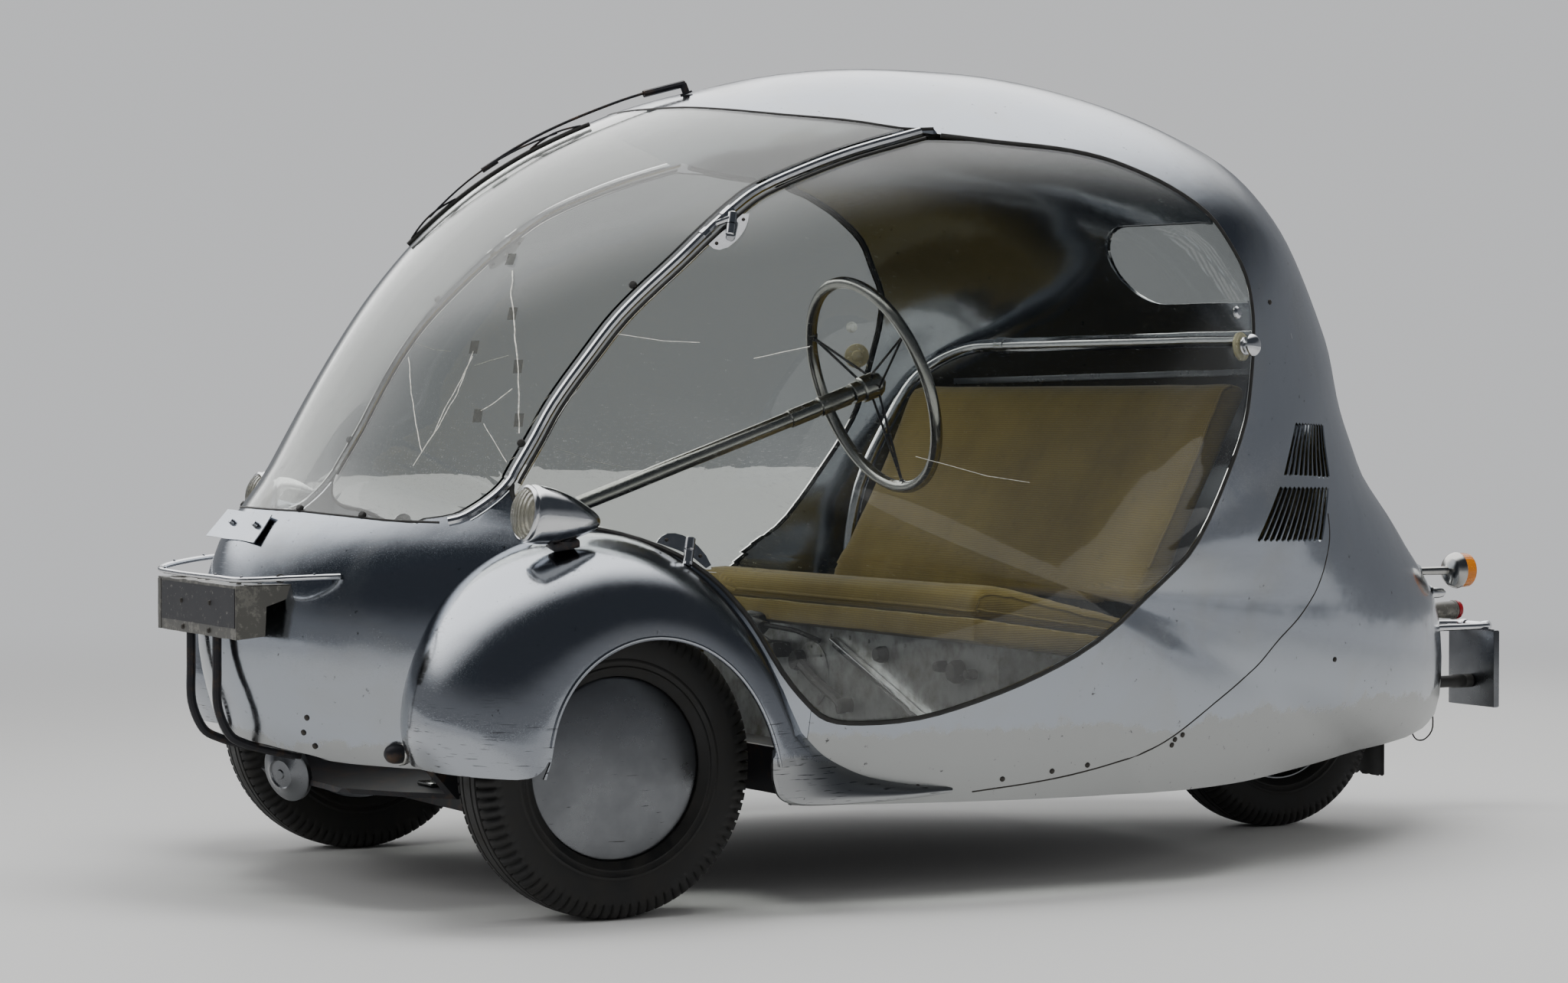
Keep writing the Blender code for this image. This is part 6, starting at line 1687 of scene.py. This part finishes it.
amber = lens_plastic("amber_lens_plastic", "#D9800E")
red = lens_plastic("red_lens_plastic", "#9E1420")
tail_cup = lathe("tail_lamp_cup", [
    (0, 1.8735), (0.0150, 1.8735), (0.0168, 1.8715), (0.0168, 1.8690), (0.0155, 1.8680),
    (0.0150, 1.8500), (0.0135, 1.8350), (0.0120, 1.8250), (0.0120, 1.7600), (0, 1.7600)],
    (0, 0, 0.354), (0, 1, 0), 40)
dressed(tail_cup, holder_sheet, stands_for=("tail_lamp",))
dressed(lathe("tail_lamp_lens", [
    (0, 1.8870), (0.0060, 1.8866), (0.0115, 1.8850), (0.0150, 1.8822), (0.0165, 1.8780),
    (0.0166, 1.8737), (0, 1.8737)], (0, 0, 0.354), (0, 1, 0), 40), red,
    stands_for=("tail_lamp",))
for side, name in ((1, "left"), (-1, "right")):
    centre = (side * 0.120, 0, 0.430)
    root = next(1.60 + step * 0.001 for step in range(300)
                if outside((side * 0.120, 1.60 + step * 0.001, 0.430), -0.002))
    bowl = lathe("bowl", [(0, 1.7810), (0.0306, 1.7810), (0.0312, 1.7795), (0.0304, 1.7760),
                          (0.0280, 1.7705), (0.0240, 1.7655), (0.0180, 1.7620), (0.0105, 1.7602),
                          (0.0072, 1.7590), (0.0068, root + 0.006), (0.0085, root + 0.004),
                          (0.0120, root), (0, root)], centre, (0, 1, 0), 48)
    bowl.name = "indicator_bowl_" + name
    dressed(bowl, brushed_tube, stands_for=("indicator_" + name,))
    dressed(lathe("indicator_lens_" + name, [
        (0, 1.8060), (0.0120, 1.8057), (0.0200, 1.8050), (0.0262, 1.8036), (0.0284, 1.8012),
        (0.0292, 1.7930), (0.0296, 1.7812), (0, 1.7812)], centre, (0, 1, 0), 48), amber,
        stands_for=("indicator_" + name,))
small = []
for side in (1, -1):
    y = next(1.60 + step * 0.001 for step in range(300)
             if outside((side * 0.112, 1.60 + step * 0.001, 0.392), -0.002))
    small.append(lathe("tail_bullet", [
        (0, y + 0.034), (0.004, y + 0.033), (0.0075, y + 0.028), (0.0090, y + 0.020),
        (0.0095, y + 0.004), (0.0130, y + 0.002), (0.0135, y - 0.002), (0, y - 0.002)],
        (side * 0.112, 0, 0.392), (0, 1, 0), 28))
dressed(joined("tail_bullets", small), chrome_plate)
hook = [(0.046, 1.734, 0.205), (0.046, 1.742, 0.166), (0.052, 1.742, 0.146), (0.066, 1.742, 0.137),
        (0.088, 1.742, 0.142), (0.106, 1.742, 0.163), (0.112, 1.734, 0.206)]
dressed(pipe("tail_wire_hook", rounded_path(hook, 4), 0.0013, sides=8), grimy_steel)

# Mud flap: a strip of black rubber sheet, frayed along its foot, under the tail's inner edge
shape = bmesh.new()
bmesh.ops.create_grid(shape, x_segments=24, y_segments=20, size=0.5)
for corner in shape.verts:
    across_share, fall = corner.co.x, corner.co.y + 0.5
    frayed = 0.010 * max(0.0, noise.noise(Vector((across_share * 9.0, 3.1, 0)))) * (1 - fall)
    corner.co = from_axle(across_share * 0.100, 1.682 + 0.0012 * sin(across_share * 9.0),
                          0.0755 + frayed + (0.2050 - 0.0755) * fall)
pulled(shape, shape.faces[:], (0, 0.0018, 0))
bmesh.ops.recalc_face_normals(shape, faces=shape.faces)
flap_back = next(1.70 + step * 0.001 for step in range(200)
                 if outside((0.045, 1.70 + step * 0.001, 0.208), -0.0086))
strip = bar("flap_strip", (0, 1.681, 0.208), (0, flap_back, 0.208), 0.096, 0.004, 0.0008)
dressed(joined("mud_flap_sheet", [made("flap", shape), strip]), rubber,
        stands_for=("mud_flap",))

# Wiper: a sprung arm from a head on the roof's edge, and a jointed holder with three yokes
# over a rubber blade. Rows give the angle round the skin, x and the stand off it.
arm_rows = ((112.6, 0.0345, 0.0190), (116.0, 0.0300, 0.0185), (121.0, 0.0220, 0.0195),
            (128.0, 0.0115, 0.0205), (134.8, 0.0015, 0.0200))
blade_rows = ((124.0, 0.0300), (129.0, 0.0170), (134.5, 0.0020), (140.0, -0.0200),
              (145.5, -0.0450))


def blade_place(angle, stand):
    index = max(i for i in range(4) if blade_rows[i][0] <= max(angle, 124.0))
    (a, x), (b, end) = blade_rows[index], blade_rows[index + 1]
    return on_skin(angle, x + (end - x) * (angle - a) / (b - a), stand)


wiper = [pipe("arm", [on_skin(a, x, s) for a, x, s in rounded_path(arm_rows, 6)], 0.0022),
         pipe("head", [on_skin(112.0, 0.0350, 0.0165), on_skin(116.8, 0.0288, 0.0175)], 0.0055),
         pipe("pivot", [on_skin(112.2, 0.0350, 0.0006), on_skin(112.2, 0.0350, 0.0170)], 0.0060),
         pipe("pad", [on_skin(112.2, 0.0350, 0.0006), on_skin(112.2, 0.0350, 0.0035)], 0.0100),
         pipe("clip", [blade_place(133.9, 0.0185), blade_place(135.6, 0.0185)], 0.0042)]
for start, end, low, high in ((127.4, 142.2, 0.0125, 0.0190), (124.9, 130.6, 0.0080, 0.0140),
                              (139.3, 144.8, 0.0080, 0.0140)):
    bow = [blade_place(start + (end - start) * step / 12,
                       low + (high - low) * sin(pi * step / 12)) for step in range(13)]
    wiper.append(pipe("yoke", bow, 0.0017, sides=8))
dressed(joined("wiper_arm_and_yokes", wiper), oily_steel, stands_for=("wiper",))
edge = [blade_place(124.05 + 21.4 * step / 40, 0.0052) for step in range(41)]
dressed(pipe("wiper_blade_rubber", edge, 0.0036, sides=12), rubber)

# Age of the clear sheets: cracks in the windscreen, held by small squares of tape, drawn
# scratches, and the rubber buttons and washers that keep doors and screen off the metal
crack_white, tree, surface, where = new_material("crazed_acrylic_edge")
broken = noise_node(tree, where, 0.006, 3.0)
seen = ranged(tree, broken, 0.35, 0.60, 0.50, 1.00)
feed(surface, Alpha=seen, Base_Color=linear("#E2E1D8"), Roughness=0.6)


def scored(points, radius, side=1):
    # A line drawn on the skin between places given by y and z, with a slight wander
    run = []
    for (y, z), (to_y, to_z) in zip(points[:-1], points[1:]):
        for step in range(5):
            y2, z2 = y + (to_y - y) * step / 5, z + (to_z - z) * step / 5
            wander = noise.noise(Vector((y2 * 60, z2 * 60, 0))) * 0.0012
            run.append(off_skin(side * skin_x(y2 + wander, z2), y2 + wander, z2, 0.0001))
    return pipe("line", run, radius, sides=6)


cracks = [scored(points, width) for points, width in (
    ([(-0.026, 0.906), (-0.038, 0.869), (-0.043, 0.841), (-0.048, 0.804), (-0.051, 0.767),
      (-0.056, 0.727), (-0.065, 0.659)], 0.0010),
    ([(-0.096, 0.782), (-0.113, 0.750), (-0.132, 0.718), (-0.162, 0.663), (-0.194, 0.617)],
     0.0007),
    ([(-0.100, 0.704), (-0.081, 0.718), (-0.057, 0.740)], 0.0008),
    ([(-0.101, 0.686), (-0.093, 0.659), (-0.083, 0.625)], 0.0006),
    ([(-0.159, 0.781), (-0.167, 0.737), (-0.171, 0.700), (-0.174, 0.668), (-0.174, 0.646),
      (-0.147, 0.686), (-0.121, 0.730), (-0.104, 0.766), (-0.092, 0.795)], 0.0007))]
dressed(joined("windscreen_cracks", cracks), crack_white)
for side, name in ((1, "left"), (-1, "right")):
    lines = [scored([(0.223, 0.778), (0.264, 0.788), (0.305, 0.797)], 0.0006, side),
             scored([(0.066, 0.813), (0.117, 0.803), (0.171, 0.800)], 0.0005, side),
             scored([(0.420, 0.640), (0.520, 0.612), (0.600, 0.600)], 0.0003, side)]
    dressed(joined("door_scratches_" + name, lines), crack_white, body="door_" + name)
tape, tree, surface, where = new_material("aged_clear_tape")
spotted = noise_node(tree, where, 0.005, 4.0)
veil = node(tree, "MapRange", Value=spotted, To_Min=0.25, To_Max=0.60)
feed(surface, Alpha=veil, Base_Color=linear("#4C4B46"), Roughness=0.45)
squares = []
for y, z in ((-0.022, 0.923), (-0.043, 0.843), (-0.051, 0.767), (-0.061, 0.691),
             (-0.092, 0.795), (-0.105, 0.697)):
    start = off_skin(*beside(y, z), 0.0004)
    stand = Vector(off_skin(*beside(y, z), 1.0)) - Vector(beside(y, z))
    shape = bmesh.new()
    bmesh.ops.create_grid(shape, x_segments=2, y_segments=2, size=0.5)
    bmesh.ops.scale(shape, vec=(0.013, 0.020, 1), verts=shape.verts)
    pulled(shape, shape.faces[:], (0, 0, 0.0003))
    turn = stand.to_track_quat("Z", "Y").to_matrix().to_4x4()
    bmesh.ops.transform(shape, matrix=Matrix.Translation(from_axle(*start)) @ turn,
                        verts=shape.verts)
    bmesh.ops.recalc_face_normals(shape, faces=shape.faces)
    squares.append(made("square", shape))
dressed(joined("windscreen_tape", squares), tape)
buttons = [beside(y, z, side) for side in (1, -1) for y, z in ((0.098, 0.884), (-0.064, 0.659))]
buttons += [nose_place(x, screen_foot_z(x) + 0.004) for x in (-0.210, -0.115, 0.115, 0.210)]
dressed(screw_heads("windscreen_buttons", buttons, 0.0060, 0.0045), rubber)
cream = lens_plastic("cream_washer_plastic", "#D8CFAE")
for side, name in ((1, "left"), (-1, "right")):
    x, y, z = beside(1.002, 0.800, side)
    stand = Vector(off_skin(x, y, z, 1.0)) - Vector((x, y, z))
    washer = lathe("door_washer_" + name, [
        (0, -0.0054), (0.0195, -0.0054), (0.0215, -0.0066), (0.0215, -0.0100), (0.0195, -0.0112),
        (0.0100, -0.0112), (0.0090, -0.0160), (0.0060, -0.0170), (0, -0.0170)],
        (x, y, z), stand, 36)
    dressed(washer, cream, body="door_" + name)

low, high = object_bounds()
